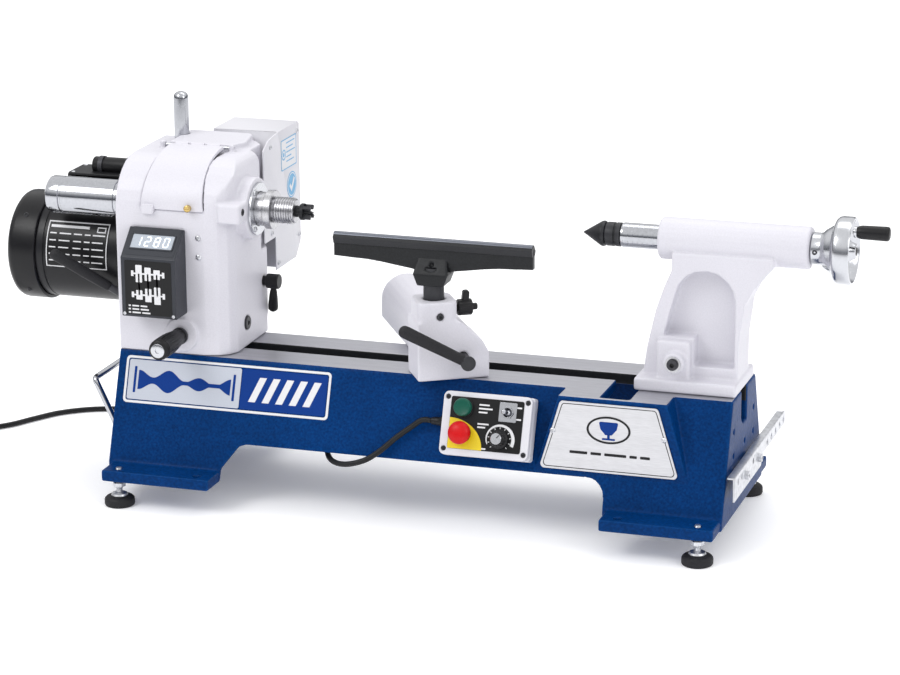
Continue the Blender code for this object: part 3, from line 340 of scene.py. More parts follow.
def washer(outer, inner, low, high, steps=48):
    return lathe([(inner, high), (outer, high), (outer, low), (inner, low)], steps)


def box(low, high):
    bm = bmesh.new()
    bmesh.ops.create_cube(bm, size=1.0)
    bmesh.ops.scale(bm, vec=[b - a for a, b in zip(low, high)], verts=bm.verts)
    bmesh.ops.translate(bm, vec=[(a + b) / 2 for a, b in zip(low, high)], verts=bm.verts)
    return bm


def from_curve(curve):
    """A curve's surface as one welded mesh that faces outward."""
    scratch = bpy.data.objects.new("scratch", curve)
    bpy.context.scene.collection.objects.link(scratch)
    bpy.context.view_layer.update()
    mesh = bpy.data.meshes.new_from_object(scratch.evaluated_get(bpy.context.evaluated_depsgraph_get()))
    bpy.data.objects.remove(scratch, do_unlink=True)
    bm = bmesh.new()
    bm.from_mesh(mesh)
    bmesh.ops.remove_doubles(bm, verts=bm.verts, dist=0.005)
    bmesh.ops.recalc_face_normals(bm, faces=bm.faces)
    return bm


def prism(outline, low, high, holes=()):
    """A flat outline, with any holes, from one height to another."""
    curve = bpy.data.curves.new("outline", "CURVE")
    curve.dimensions, curve.fill_mode, curve.extrude = "2D", "BOTH", (high - low) / 2
    for loop in (outline, *holes):
        spline = curve.splines.new("POLY")
        spline.points.add(len(loop) - 1)
        for point, (u, v) in zip(spline.points, loop):
            point.co = (u, v, 0, 1)
        spline.use_cyclic_u = True
    bm = from_curve(curve)
    bmesh.ops.translate(bm, vec=(0, 0, (low + high) / 2), verts=bm.verts)
    return bm


def tube(points, radius, sides=6):
    """A round bar along points."""
    curve = bpy.data.curves.new("line", "CURVE")
    curve.dimensions, curve.bevel_depth, curve.bevel_resolution = "3D", radius, sides
    curve.use_fill_caps = True
    spline = curve.splines.new("POLY")
    spline.points.add(len(points) - 1)
    for point, spot in zip(spline.points, points):
        point.co = (*spot, 1)
    return from_curve(curve)


def arc(centre, radius, start, end, steps=12):
    angles = [math.radians(start + (end - start) * i / steps) for i in range(steps + 1)]
    return [(centre[0] + radius * math.cos(a), centre[1] + radius * math.sin(a)) for a in angles]


def rounded(corners, radius, steps=6):
    """An outline with its corners rounded."""
    points = []
    for i, corner in enumerate(corners):
        here = Vector(corner)
        back = (Vector(corners[i - 1]) - here).normalized()
        ahead = (Vector(corners[(i + 1) % len(corners)]) - here).normalized()
        half = back.angle(ahead) / 2
        centre = here + (back + ahead).normalized() * (radius / math.sin(half))
        first, last = here + back * (radius / math.tan(half)), here + ahead * (radius / math.tan(half))
        begin = math.atan2(first.y - centre.y, first.x - centre.x)
        sweep = math.atan2(last.y - centre.y, last.x - centre.x) - begin
        sweep = (sweep + math.pi) % (2 * math.pi) - math.pi
        points += [(centre.x + radius * math.cos(begin + sweep * k / steps),
                    centre.y + radius * math.sin(begin + sweep * k / steps)) for k in range(steps + 1)]
    return points


def rectangle(x0, y0, x1, y1, radius=0.0):
    corners = [(x0, y0), (x1, y0), (x1, y1), (x0, y1)]
    return rounded(corners, radius) if radius else corners


def moved(shape, where):
    bmesh.ops.transform(shape, matrix=where, verts=shape.verts)
    return shape


def together(*shapes):
    """Several shapes as one mesh."""
    whole = bmesh.new()
    for shape in shapes:
        mesh = bpy.data.meshes.new("part")
        shape.to_mesh(mesh)
        shape.free()
        whole.from_mesh(mesh)
        bpy.data.meshes.remove(mesh)
    return whole


def scratch(shape):
    mesh = bpy.data.meshes.new("scratch")
    shape.to_mesh(mesh)
    shape.free()
    item = bpy.data.objects.new("scratch", mesh)
    bpy.context.scene.collection.objects.link(item)
    return item


def settled(item, *others):
    """The shape that an object's modifiers leave, once the objects are put away."""
    bpy.context.view_layer.update()
    mesh = bpy.data.meshes.new_from_object(item.evaluated_get(bpy.context.evaluated_depsgraph_get()))
    for one in (item, *others):
        bpy.data.objects.remove(one, do_unlink=True)
    bm = bmesh.new()
    bm.from_mesh(mesh)
    return bm


def carved(shape, *tools):
    """The shape with each tool cut out of it."""
    base, others = scratch(shape), [scratch(tool) for tool in tools]
    for other in others:
        change = base.modifiers.new("cut", "BOOLEAN")
        change.operation, change.object = "DIFFERENCE", other
    return settled(base, *others)


def cad_shape(node):
    """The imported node's own shape, welded, in the machine's frame."""
    bm = bmesh.new()
    bm.from_mesh(frame["nodes"][node].data)
    bmesh.ops.transform(bm, matrix=PLACE.inverted(), verts=bm.verts)
    bmesh.ops.remove_doubles(bm, verts=bm.verts, dist=0.002)
    bmesh.ops.recalc_face_normals(bm, faces=bm.faces)
    return bm


def cast(shape, voxel=1.4, rounds=6):
    """A casting's soft edges and fillets."""
    item = scratch(shape)
    skin = item.modifiers.new("skin", "REMESH")
    skin.mode, skin.voxel_size = "VOXEL", voxel
    soften = item.modifiers.new("soften", "SMOOTH")
    soften.factor, soften.iterations = 0.5, rounds
    return settled(item)


def piece(name, shape, finish, node, where=HERE, edges=0.0, smooth=32.0, extra=False, segments=3):
    """A finished piece that moves with the CAD node's body and, unless it is extra, stands for the node."""
    mesh = bpy.data.meshes.new(name)
    shape.to_mesh(mesh)
    shape.free()
    mesh.transform(PLACE @ where)
    for used in (finish if isinstance(finish, tuple) else (finish,)):
        mesh.materials.append(FINISHES[used])
    mesh.shade_smooth()
    if not edges:
        mesh.set_sharp_from_angle(angle=math.radians(smooth))
    item = bpy.data.objects.new(name, mesh)
    bpy.context.scene.collection.objects.link(item)
    if edges:
        bevel = item.modifiers.new("edges", "BEVEL")
        bevel.width, bevel.segments, bevel.limit_method = edges * MM, segments, "ANGLE"
        bevel.angle_limit, bevel.use_clamp_overlap = math.radians(smooth), False
        bevel.harden_normals = True
    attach(item, frame["nodes"][node]["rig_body"])
    if not extra:
        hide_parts(node)
    return item


def detail(*args, **options):
    """A piece that is added to a node which another piece stands for."""
    return piece(*args, extra=True, **options)


def dress(finish, *nodes):
    """CAD nodes that stay as they are, in their own finish."""
    for node in nodes:
        item = frame["nodes"][node]
        item.data.materials.clear()
        item.data.materials.append(FINISHES[finish])


def knurl(count, depth, low=-1e9, high=1e9):
    """Flutes round a grip between two heights."""
    return lambda angle, radius, height: depth * math.cos(count * angle) if low <= height <= high else 0.0


def levels(radius, top, bottom, count):
    return [(radius, top + (bottom - top) * i / count) for i in range(count + 1)]


def cross_screw(name, node, where, radius=4.0, height=2.2, finish="zinc"):
    """A pan-head screw with its cross recess, standing on a face."""
    head = lathe([(0, height), (radius * 0.55, height * 0.96), (radius * 0.85, height * 0.7),
                  (radius, height * 0.3), (radius, 0), (0, 0)], 32)
    reach, half = radius * 0.55, radius * 0.13
    tools = (box((-reach, -half, height * 0.35), (reach, half, height * 2)),
             box((-half, -reach, height * 0.35), (half, reach, height * 2)))
    return detail(name, carved(head, *tools), finish, node, where)


def socket_screw(name, node, where, radius=4.0, height=4.0, finish="iron"):
    """A cap screw with its hexagon socket."""
    head = lathe([(0, height), (radius * 0.93, height), (radius, height * 0.88), (radius, 0), (0, 0)], 40)
    return detail(name, carved(head, disc(radius * 0.55, height * 0.4, height * 2, 6)), finish, node, where)


def thread(length, radius, pitch, depth, finish, name, node, where, extra=True, bore=0.0):
    """A length of real helical thread."""
    rows = max(4, round(length / pitch * 6))

    def groove(angle, wide, height):
        if wide < radius - 0.01:
            return 0.0
        phase = (height / pitch - angle / (2 * math.pi)) % 1.0
        return -depth * (1 - abs(2 * phase - 1))

    profile = levels(radius, length, 0.0, rows)
    profile = [(bore, length)] + profile + [(bore, 0.0)]
    return piece(name, lathe(profile, 48, groove), finish, node, where, extra=extra, smooth=50)


make_camera()
make_studio()


# ---------------------------------------------------------------- cords

CORD_R = 3.5
CONTROL_ROUTE = [(495.6, -90.4, -47.7), (484, -90.4, -48.0), (470, -92.5, -58), (453, -97, -71), (434, -104, -88),
                 (416, -109, -100), (394, -110, -107), (376, -103, -109), (362, -88, -108), (348, -60, -104),
                 (328, -22, -82), (300, 10, -48), (268, 30, -30), (238, 38, -23), (220, 40, -18.5),
                 (213, 40, -12), (212, 40, -3)]
POWER_ROUTE = [(180, 150, 40), (180, 150.5, 10), (180, 153, -40), (179, 160, -95), (174, 171, -145),
               (160, 184, -170), (135, 197, -176.2), (95, 210, -176.2), (45, 220, -176.2), (-10, 225, -176.2),
               (-55, 222, -176.2), (-95, 208, -176.2), (-128, 182, -176.2), (-150, 148, -176.2),
               (-168, 116, -176.2), (-187, 96, -176.2), (-208, 86.5, -176.2)]
COIL = Vector((-231, 45, 0))
COIL_R, COIL_PITCH = 38.6, 7.2
COIL_START, COIL_TURNS = 75, 4 + 105 / 360       # degrees round the coil, and its turns
PLUG = Vector((-269.6, 7, FLOOR + 18.5))         # where the plug's boot takes the cord


def smooth_route(points, spacing):
    """Evenly spaced points on a Catmull-Rom curve through the route's own points."""
    knots = [Vector(p) for p in points]
    knots = [2 * knots[0] - knots[1], *knots, 2 * knots[-1] - knots[-2]]
    dense = []
    for a, b, c, d in zip(knots, knots[1:], knots[2:], knots[3:]):
        for step in range(24):
            t = step / 24
            dense.append(0.5 * (2 * b + (c - a) * t + (2 * a - 5 * b + 4 * c - d) * t * t
                                + (3 * b - a - 3 * c + d) * t ** 3))
    dense.append(knots[-2])
    length = sum((q - p).length for p, q in zip(dense, dense[1:]))
    count = max(2, round(length / spacing))
    route, walked, target = [dense[0]], 0.0, length / count
    for p, q in zip(dense, dense[1:]):
        step = (q - p).length
        while len(route) < count and walked + step >= target * len(route):
            route.append(p.lerp(q, (target * len(route) - walked) / step))
        walked += step
    return route[:count] + [dense[-1]]


def coil_points():
    """The stored cord's turns, each a diameter over the last, and the run down into the plug."""
    points = []
    steps = round(COIL_TURNS * 24)
    for i in range(steps + 1):
        turns = COIL_TURNS * i / steps
        angle = math.radians(COIL_START) + 2 * math.pi * turns
        wide = COIL_R + 0.5 * math.sin(2.3 * angle)
        points.append(COIL + Vector((wide * math.cos(angle), wide * math.sin(angle),
                                     FLOOR + CORD_R + 0.3 + COIL_PITCH * turns)))
    top = points[-1].z
    for share, y in ((0.1, 34), (0.35, 23), (0.72, 13), (0.94, 5), (1.0, -3)):
        points.append(Vector((PLUG.x, y, top + (PLUG.z - top) * share)))
    return points


def cord_curve(name, points, radius, node, extra=False):
    curve = bpy.data.curves.new(name, "CURVE")
    curve.dimensions, curve.bevel_depth, curve.bevel_resolution = "3D", radius * MM, 5
    curve.use_fill_caps = True
    spline = curve.splines.new("POLY")
    spline.points.add(len(points) - 1)
    for point, spot in zip(spline.points, points):
        point.co = (*world_point(*spot), 1)
    spline.use_smooth = True
    curve.materials.append(FINISHES["cable"])
    item = bpy.data.objects.new(name, curve)
    bpy.context.scene.collection.objects.link(item)
    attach(item, frame["nodes"][node]["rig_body"])
    if not extra:
        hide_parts(node)
    return item


def make_cords():
    control = smooth_route(CONTROL_ROUTE, 6.0)
    item = cord_curve("control_lead", control, CORD_R, "control_cable")

    laid = smooth_route(POWER_ROUTE[:-1] + [(-207, 86.2, -176.2)] + coil_points(), 5.0)
    item = cord_curve("mains_lead", laid, CORD_R, "power_cable")
    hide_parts("cable_coil")
    boot = [(0, 10), (4.4, 10), (4.6, 9)]
    for ridge in range(6):
        top = 8 - ridge * 6.4
        wide = 4.9 + 0.32 * ridge
        boot += [(wide, top), (wide, top - 4.2), (wide - 1.0, top - 4.6), (wide - 1.0, top - 6.0)]
    boot += [(7.4, -34), (13, -40), (16.6, -44), (18, -48), (18, -60), (16.8, -61), (16.8, -63), (18, -64),
             (18, -68), (0, -68)]
    lie = at(PLUG.x, PLUG.y, PLUG.z, "y")
    body = lathe(boot, 64, lambda a, r, h: -0.9 * abs(math.sin(a)) ** 6 if -60 < h < -44 and r > 15 else 0.0)
    plug = piece("mains_plug_moulding", body, "plastic", "mains_plug", lie, edges=0.4)
    pins = together(*(moved(lathe([(0, -66), (2.4, -66), (2.4, -84.5), (1.6, -86.5), (0, -87)][::-1], 24),
                            at(side, 0, 0)) for side in (-9.5, 9.5)))
    bmesh.ops.recalc_face_normals(pins, faces=pins.faces)
    detail("mains_plug_pins", pins, "zinc", "mains_plug", lie)

    relief = [(0, 71.7), (8, 71.7), (8, 66), (6.4, 64.5)]
    for ridge in range(4):
        top = 63.5 - ridge * 5.8
        wide = 6.0 - 0.3 * ridge
        relief += [(wide, top), (wide, top - 3.6), (wide - 0.9, top - 4.0), (wide - 0.9, top - 5.2)]
    relief += [(4.5, 40.3), (0, 40.3)]
    piece("strain_relief_boot", lathe(relief, 40), "rubber", "strain_relief", at(180, 150, 0))
    tie = tube([(COIL_R - 4.6, 0, 0.6), (COIL_R - 5.0, 0, 18), (COIL_R - 4.6, 0, 36), (COIL_R, 0, 37.6),
                (COIL_R + 4.6, 0, 36), (COIL_R + 5.0, 0, 18), (COIL_R + 4.6, 0, 0.6)], 0.9, 3)
    detail("coil_tie", tie, "plastic", "cable_coil",
          at(COIL.x, COIL.y, FLOOR + 0.4) @ Matrix.Rotation(math.radians(-60), 4, "Z"))


make_cords()


# ---------------------------------------------------------------- bed

def face_finish(item, test, index):
    """The faces that pass the test take the piece's other material."""
    for face in item.data.polygons:
        if test(face):
            face.material_index = index


def make_bed():
    bed = piece("bed_casting", cast(cad_shape("bed"), 1.8, 3), ("blue", "ways", "iron"), "bed", smooth=80)
    face_finish(bed, lambda f: f.normal.z > 0.9 and f.center.z > WAYS_LEVEL - 0.0005, 1)
    # the slot walls between the ways take the near-black iron: bare iron in part, and painted shade for the shadow down
    # in the narrow slot
    face_finish(bed, lambda f: abs(f.normal.y) > 0.8 and abs(f.center.y - WAYS_MIDDLE) < 0.0148
                and f.center.z > 0.16, 2)
    left = tilted(0, -62, 0, 70.15)
    frame_line = carved(prism(rectangle(86, -66, 359, -7, 5), 0.05, 0.5), prism(rectangle(89, -63, 356, -10, 3), -1, 1))
    detail("bed_label_border", frame_line, "mark", "bed", left)
    detail("bed_label_pale", prism(rectangle(90.5, -61.5, 241, -11.5, 2.5), 0.05, 0.4), "label_grey", "bed", left)
    detail("bed_label_deep", prism(rectangle(242, -61.5, 354.5, -11.5, 2.5), 0.05, 0.35), "label_blue", "bed", left)
    # a plain turned-wood motif: beads and coves along a spindle, in the other panel's colour
    half = []
    for i in range(81):
        x = i / 80
        wide = 6.5 + 5.5 * math.cos(6 * math.pi * x) * (1 - 0.35 * x) + 3.0 * math.sin(2 * math.pi * x)
        half.append((104 + 124 * x, max(2.4, wide)))
    outline = [(x, -36.5 + w) for x, w in half] + [(x, -36.5 - w) for x, w in reversed(half)]
    detail("bed_label_motif", prism(outline, 0.1, 0.62), "label_blue", "bed", left)
    rings = [prism(rectangle(x, -53, x + 3.2, -20, 1), 0.1, 0.7) for x in (98.0, 230.8)]
    detail("bed_label_motif_ends", together(*rings), "label_blue", "bed", left)
    bars = [prism([(x, -52), (x + 9, -52), (x + 22, -21), (x + 13, -21)], 0.1, 0.62)
            for x in (253, 271, 289, 307, 325)]
    detail("bed_label_stripes", together(*bars), "mark", "bed", left)
    piece("tool_rack", cad_shape("tool_bracket"), "zinc", "tool_bracket", edges=0.5, smooth=42)


def make_feet():
    for x, side_x in ((100.0, "left"), (839.0, "right")):
        for y, side_y in ((-135.0, "front"), (135.0, "rear")):
            node = f"levelling_foot_{side_y}_{side_x}"
            pad = [(0, 13.6), (10, 13.6), (11, 12.4), (16.5, 11.2), (18.6, 9.2), (19, 7), (19, 2.2), (18.2, 0.6),
                   (17, 0), (0, 0)]
            piece(f"{node}_pad", lathe(pad, 64, lambda a, r, h: -0.35 * (math.cos(28 * a) > 0.3)
                                       if 2 < h < 10 and r > 18 else 0.0), "rubber", node, at(x, y, FLOOR))
            cup = [(0, 17.2), (4.4, 17.2), (9.5, 15.6), (10.5, 13.4), (0, 13.4)]
            detail(f"{node}_cup", lathe(cup, 48), "zinc", node, at(x, y, FLOOR))
            nut = prism([(8.2 * math.cos(math.radians(60 * i + 12)), 8.2 * math.sin(math.radians(60 * i + 12)))
                         for i in range(6)], 24.2, 29.6)
            detail(f"{node}_nut", nut, "zinc", node, at(x, y, FLOOR), edges=0.6)
            thread(31.5, 3.9, 1.25, 0.55, "zinc", f"{node}_stud", node, at(x, y, FLOOR + 17))


def make_end_pieces():
    reach, low, high = 33.0, -118.0, -46.0
    points = [(80, -50, low), (70, -50, low)]
    points += [(67 - 34 * t, -50, low + (high - low) * t) for t in (0.12, 0.4, 0.7, 0.93)]
    points += [(reach + 0.2, -48, high - 1), (reach, -44.5, high + 0), (reach, -38, high)]
    points += [(x, -y, z) for x, y, z in reversed(points)]
    soft = smooth_route(points, 3.5)
    piece("end_handle_bar", tube([tuple(p) for p in soft], 4.0, 6), "chrome", "end_handle", smooth=60)
    for y in (-40.0, 30.0):
        socket_screw(f"bracket_screw_{y:.0f}", "tool_bracket", at(874.5, y, -97, "x"), 5.0, 4.6, "zinc")
    for y in (-50.0, 50.0):
        detail(f"handle_nut_{y:.0f}", carved(prism(rounded([(7.5 * math.cos(math.radians(60 * i)),
              7.5 * math.sin(math.radians(60 * i))) for i in range(6)], 0.6, 2), 0, 5.2), disc(4.1, -1, 9)),
              "zinc", "bed", at(69.7, y, -118, "x"))


def make_plaque():
    flat = at(0, -98.9, 0, "-y")
    corners = [(660, -5), (780, -5), (806, -91), (634, -91)][::-1]
    holes = [moved(disc(2.3, -3, 3), at(x, z)) for x, z in ((651, -43), (788, -43))]
    shape = carved(prism(rounded(corners, 5, 8), -1.5, 0), *holes)
    piece("plaque_plate", shape, "aluminium", "plaque", flat, edges=0.25)
    inset = [(662.6, -7.6), (777.8, -7.6), (802.6, -88.4), (637.4, -88.4)][::-1]
    inner = [(663.4, -8.5), (777.1, -8.5), (801.4, -87.5), (638.6, -87.5)][::-1]
    line = carved(prism(rounded(inset, 4.6, 8), 0.02, 0.22), prism(rounded(inner, 4.0, 8), -1, 1))
    detail("plaque_line", line, "legend", "plaque", flat)
    oval = [(720 + 27 * math.cos(a), -37 + 17 * math.sin(a)) for a in (2 * math.pi * i / 72 for i in range(72))]
    hole = [(720 + 24.4 * math.cos(a), -37 + 14.6 * math.sin(a)) for a in (2 * math.pi * i / 72 for i in range(72))]
    detail("plaque_emblem_ring", prism(oval, 0.02, 0.45, [hole]), "plastic", "plaque", flat)
    bowl = [(708, -27), (732, -27), (730, -36), (724, -43), (716, -43), (710, -36)]
    stem = rectangle(718.4, -47.5, 721.6, -42.5)
    foot = rectangle(712, -49.4, 728, -47.2, 0.8)
    detail("plaque_emblem", together(*(prism(part, 0.02, 0.4) for part in (rounded(bowl, 1.8), stem, foot))),
          "label_blue", "plaque", flat)
    marks = [prism(rectangle(x, -69.4, x + wide, -66.0, 0.9), 0.02, 0.2)
             for x, wide in ((672, 22), (698, 13), (715, 27), (746, 9), (759, 12))]
    detail("plaque_marks", together(*marks), "plastic", "plaque", flat)
    for x in (651, 788):
        cross_screw(f"plaque_screw_{x}", "plaque", at(x, -98.9, -43, "-y"), 3.3, 1.7)


make_bed()
make_feet()
make_end_pieces()
make_plaque()


# ---------------------------------------------------------------- headstock

def make_headstock():
    piece("headstock_casting", cast(cad_shape("headstock")), "casting", "headstock", smooth=80)
    angles = [math.radians(8 + 82 * i / 48) for i in range(49)]
    outer = [(28 - 91.5 * math.cos(a), 184 + 63.5 * math.sin(a)) for a in angles]
    inner = [(28 - 87.5 * math.cos(a), 184 + 59.5 * math.sin(a)) for a in angles]
    skin = moved(prism([(-63.5, 184.0), *outer, *reversed(inner), (-59.5, 184.0)], 98, 204), FACING["yz"])
    fan = moved(prism([(109.2, 181), (192.6, 181), (183.2, 270), (116.4, 270)], -60, 90), FACING["-y"])
    item, tool = scratch(skin), scratch(fan)
    change = item.modifiers.new("outline", "BOOLEAN")
    change.operation, change.object = "INTERSECT", tool
    door = settled(item, tool)
    lug = moved(prism(rectangle(112, 178, 128, 190.5, 3), 61.8, 66.6), FACING["-y"])
    knuckles = [moved(disc(4.0, x, x + 17.5, 32), at(0, 31, 245, "x")) for x in (119.8, 141.0, 162.3)]
    piece("belt_door_cover", together(door, lug, *knuckles), "casting", "belt_door", edges=0.7, smooth=38)
    knob = [(0, 71.5), (3.4, 71.5), (4.3, 70.8)] + levels(4.3, 70.6, 66.2, 4) + \
           [(3.4, 65.6), (2.4, 64.8), (2.4, 58), (0, 58)]
    screw = carved(lathe(knob, 72, knurl(24, 0.12, 66.1, 70.7)), box((-3.2, -0.5, 70.7), (3.2, 0.5, 75)))
    detail("belt_door_screw", screw, "brass", "belt_door", at(174.8, 0, 189, "-y"))
    for z in (150.9, 126.6):
        cross_screw(f"head_screw_{z:.0f}", "headstock", at(185, -62.0, z, "-y"), 3.7, 2.0)
    piece("door_pin", lathe([(0, 48), (1.6, 48), (2.0, 47.4), (2.0, -47.4), (1.6, -48), (0, -48)], 24), "zinc",
          "door_hinge_pin", at(149.8, 31, 245, "x"))
    detail("head_bore_plug", carved(lathe([(0, 1.6), (8, 1.6), (8.8, 0.8), (8.8, -4), (0, -4)], 40),
          disc(3.2, 0.2, 4, 6)), "iron", "headstock", at(225.2, -5, 30.7, "x"))
    socket_screw("head_lug_screw", "headstock", at(236.0, -48, 184, "x"), 4.3, 4.0)


def make_spindle_line():
    line = at(0, 0, AXIS_Z, "x")
    retainer = [(22, 243.3), (32.4, 243.3), (33, 242.6), (33, 240.3), (22, 240.3)]
    piece("bearing_retainer_ring", lathe(retainer, 96), "turned", "bearing_retainer", line)
    for index, angle in enumerate((55, 180, -55)):
        y, z = -28 * math.cos(math.radians(angle)), 28 * math.sin(math.radians(angle))
        cross_screw(f"retainer_screw_{index}", "bearing_retainer", at(243.2, y, AXIS_Z + z, "x"), 3.6, 2.0)
    nose = [(7.4, 292), (13.8, 292), (15.0, 291.2), (15.0, 289.6)]
    for i in range(7):
        x = 289.2 - 3.3 * i
        nose += [(16.5, x), (16.5, x - 0.9), (14.9, x - 1.9), (14.9, x - 2.2), (16.5, x - 3.1)]
    nose += [(14.2, 266.2), (14.2, 264.1), (23.8, 264.1), (24.5, 263.4), (24.5, 255.4), (23.9, 254.7), (21.2, 254.6),
             (21.2, 224), (12.5, 224), (12.5, 76), (11.5, 76), (11.5, -40), (5.2, -40), (5.2, 206), (6.8, 206)]

    piece("spindle_bar", lathe(nose, 96), "steel", "spindle", line, smooth=30)
    wheel = [(11.8, 74.5), (21.5, 74.5), (23.2, 73.6), (24, 72), (24, 58), (22.6, 57), (22.6, 54.5), (24, 53.5),
             (24, -18), (22.8, -19), (22.8, -21), (24, -22), (24, -35), (22.8, -38.5), (19.5, -40.8), (17, -41),
             (11.8, -41)]
    piece("outboard_wheel", lathe(wheel, 96), "chrome", "outboard_handwheel", line)
    socket_screw("outboard_set_screw", "outboard_handwheel", at(66, 0, AXIS_Z, "-y") @
                 Matrix.Translation((0, 0, 22.8)), 3.0, 1.3)
    centre = [(0, 315.5), (1.2, 312), (2.8, 307), (3.4, 303), (10.2, 303), (10.5, 302.6), (10.5, 299), (9.6, 297.8),
              (7.0, 297.5), (7.0, 291), (6.4, 250), (6.1, 214), (0, 214)]
    prongs = [moved(carved(box((5.2, -2.0, 302), (10.2, 2.0, 312.5)), moved(box((-8, -6, -4), (8, 6, 4)),
              at(7.7, 0, 314.5) @ Matrix.Rotation(math.radians(32), 4, "X") @ at(0, 0, 4))),
              Matrix.Rotation(math.radians(45 + 90 * i), 4, "Z")) for i in range(4)]
    piece("drive_centre_cup", together(lathe(centre, 48), *prongs), "iron", "drive_centre", line, edges=0.3)
    for node, name, radii, bore in (("spindle_pulley", "spindle_pulley_turned", (24.0, 31.0, 38.0), 12.8),
                                    ("motor_pulley", "motor_pulley_turned", (36.0, 29.0, 22.0), 6.8)):
        first = radii[0] + 2.5
        groove = [(bore, 180), (first, 180), (first, 178)]
        for radius, x in zip(radii, (178.0, 162.0, 146.0)):
            for rib in range(6):
                groove += [(radius, x - rib * 2.33), (radius - 0.9, x - rib * 2.33 - 1.1)]
            groove += [(radius, x - 14), (radius + 2.5, x - 14), (radius + 2.5, x - 16)]
        groove += [(18, 130), (18, 118), (bore, 118)]
        where = line if node == "spindle_pulley" else at(0, MOTOR_Y, MOTOR_Z, "x")
        piece(name, lathe(groove, 64), "turned", node, where)
    dress("steel", "front_bearing", "rear_bearing", "motor_rotor")
    dress("belt", "drive_belt")
    dress("black", "motor_plate")
    dress("plastic", "cooling_fan")


def make_lock_knob():
    where = at(160, 0, 25.7, "-y")
    knob = [(0, 139.8), (9.4, 139.8), (10.8, 139.4), (12.4, 137.8), (13.0, 135)]
    knob += [(12.3, 134.2), (12.3, 132.2), (13.0, 131.4)] + levels(13.0, 131, 105, 4)
    knob += [(12.4, 98), (11.2, 88), (10.2, 80), (9.6, 74), (9.2, 72), (7.2, 71.4), (6.2, 70), (6.0, 66),
             (6.0, 60), (0, 60)]
    piece("lock_knob_grip", lathe(knob, 120, knurl(20, 0.28, 104, 132)), "plastic", "lock_knob", where)
    cap = [(0, 141.0), (8.2, 141.0), (8.9, 140.6), (9.1, 139.7), (0, 139.7)]
    detail("lock_knob_disc", carved(lathe(cap, 64), disc(3.4, 140, 150, 6)), "turned", "lock_knob", where)
    detail("lock_knob_collar", lathe([(0, 72.6), (10.2, 72.6), (10.8, 72), (10.8, 69), (10.2, 68.4), (0, 68.4)], 64),
          "iron", "lock_knob", where)


SEGMENTS = {"top": (0, 1, 0), "middle": (0, 0, 0), "bottom": (0, -1, 0), "upper_left": (-1, 0.5, 1),
            "upper_right": (1, 0.5, 1), "lower_left": (-1, -0.5, 1), "lower_right": (1, -0.5, 1)}
DIGITS = {"0": "top bottom upper_left upper_right lower_left lower_right",
          "1": "upper_right lower_right",
          "2": "top middle bottom upper_right lower_left",
          "8": "top middle bottom upper_left upper_right lower_left lower_right"}


def digit(figure, x, y, wide, tall):
    """One seven-segment figure about its middle."""
    bars = []
    for name in DIGITS[figure].split():
        side, level, upright = SEGMENTS[name]
        cx, cy = x + side * wide / 2, y + level * tall / 2
        reach, half = (0.7, tall / 4 - 0.6) if upright else (wide / 2 - 0.6, 0.7)
        bars.append(prism([(cx - reach + 0.08 * (cy - y), cy - half), (cx + reach + 0.08 * (cy - y), cy - half),
                           (cx + reach + 0.08 * (cy - y), cy + half), (cx - reach + 0.08 * (cy - y), cy + half)],
                          0.3, 0.75))
    return bars


def make_display():
    profile = [(-98, 54), (-98, 129.5), (-62.3, 163.4), (-62.3, 54)]
    case = moved(prism(rounded(profile, 2.2, 5), 96, 168), FACING["yz"])
    piece("display_case", case, "slate", "display_box", edges=0.4)
    slope = tilted(132, -98, 129.5, 43.5)
    detail("display_face", prism(rectangle(-33, 4.5, 33, 45.5, 3), -0.4, 0.3), "slate", "display_box", slope)
    bezel = carved(prism(rectangle(-29.5, 12.5, 29.5, 36.5, 2.4), 0.1, 1.2),
                   prism(rectangle(-27.6, 14.4, 27.6, 34.6, 1.2), -1, 3))
    detail("display_bezel", bezel, "slate", "display_box", slope, edges=0.3)
    detail("display_window", prism(rectangle(-27.6, 14.4, 27.6, 34.6, 1.2), 0.05, 0.5), "window", "display_box",
          slope)
    figures = [bar for i, figure in enumerate("1280") for bar in digit(figure, -18.6 + 12.4 * i, 24.5, 6.2, 13.0)]
    detail("display_digits", together(*figures), "glow", "display_box", slope)
    front = at(132, -98, 0, "-y")
    detail("display_chart_plate", prism(rectangle(-31, 57.5, 31, 126.5, 2), -0.3, 0.35), "legend", "display_box",
          front)
    marks = []
    for level, talls in ((110, (22, 17, 12)), (83, (12, 17, 22))):
        for i, tall in enumerate(talls):
            x = -12 + 12 * i
            marks.append(prism(rectangle(x - 4.2, level - tall / 2, x + 4.2, level + tall / 2, 0.8), 0.3, 0.6))
            marks.append(prism(rectangle(x - 1.0, 83, x + 1.0, 110), 0.3, 0.75))
        marks.append(prism(rectangle(-22, level - 1.0, 22, level + 1.0), 0.3, 0.5))
        marks += [prism(rectangle(x - 1.6, level - 3.6, x + 1.6, level + 3.6, 0.4), 0.3, 0.6) for x in (-20.6, 20.6)]
    detail("display_chart", together(*marks), "mark", "display_box", front)
    rows = []
    for row, spans in enumerate((((-27, 3), (-22, 9), (-11, 9)), ((-27, 3), (-22, 9), (-11, 11)),
                                 ((-27, 3), (-22, 11), (-9, 11)))):
        rows += [prism(rectangle(x, 69.6 - 4.3 * row - 1.9, x + wide, 69.6 - 4.3 * row, 0.4), 0.3, 0.5)
                 for x, wide in spans]
    detail("display_chart_rows", together(*rows), "mark", "display_box", front)
    for x, z in ((99.5, 57.5), (164.5, 57.5)):
        socket_screw(f"display_screw_{x:.0f}", "display_box", at(x, -97.6, z + 0.5, "-y"), 2.0, 1.1, "zinc")


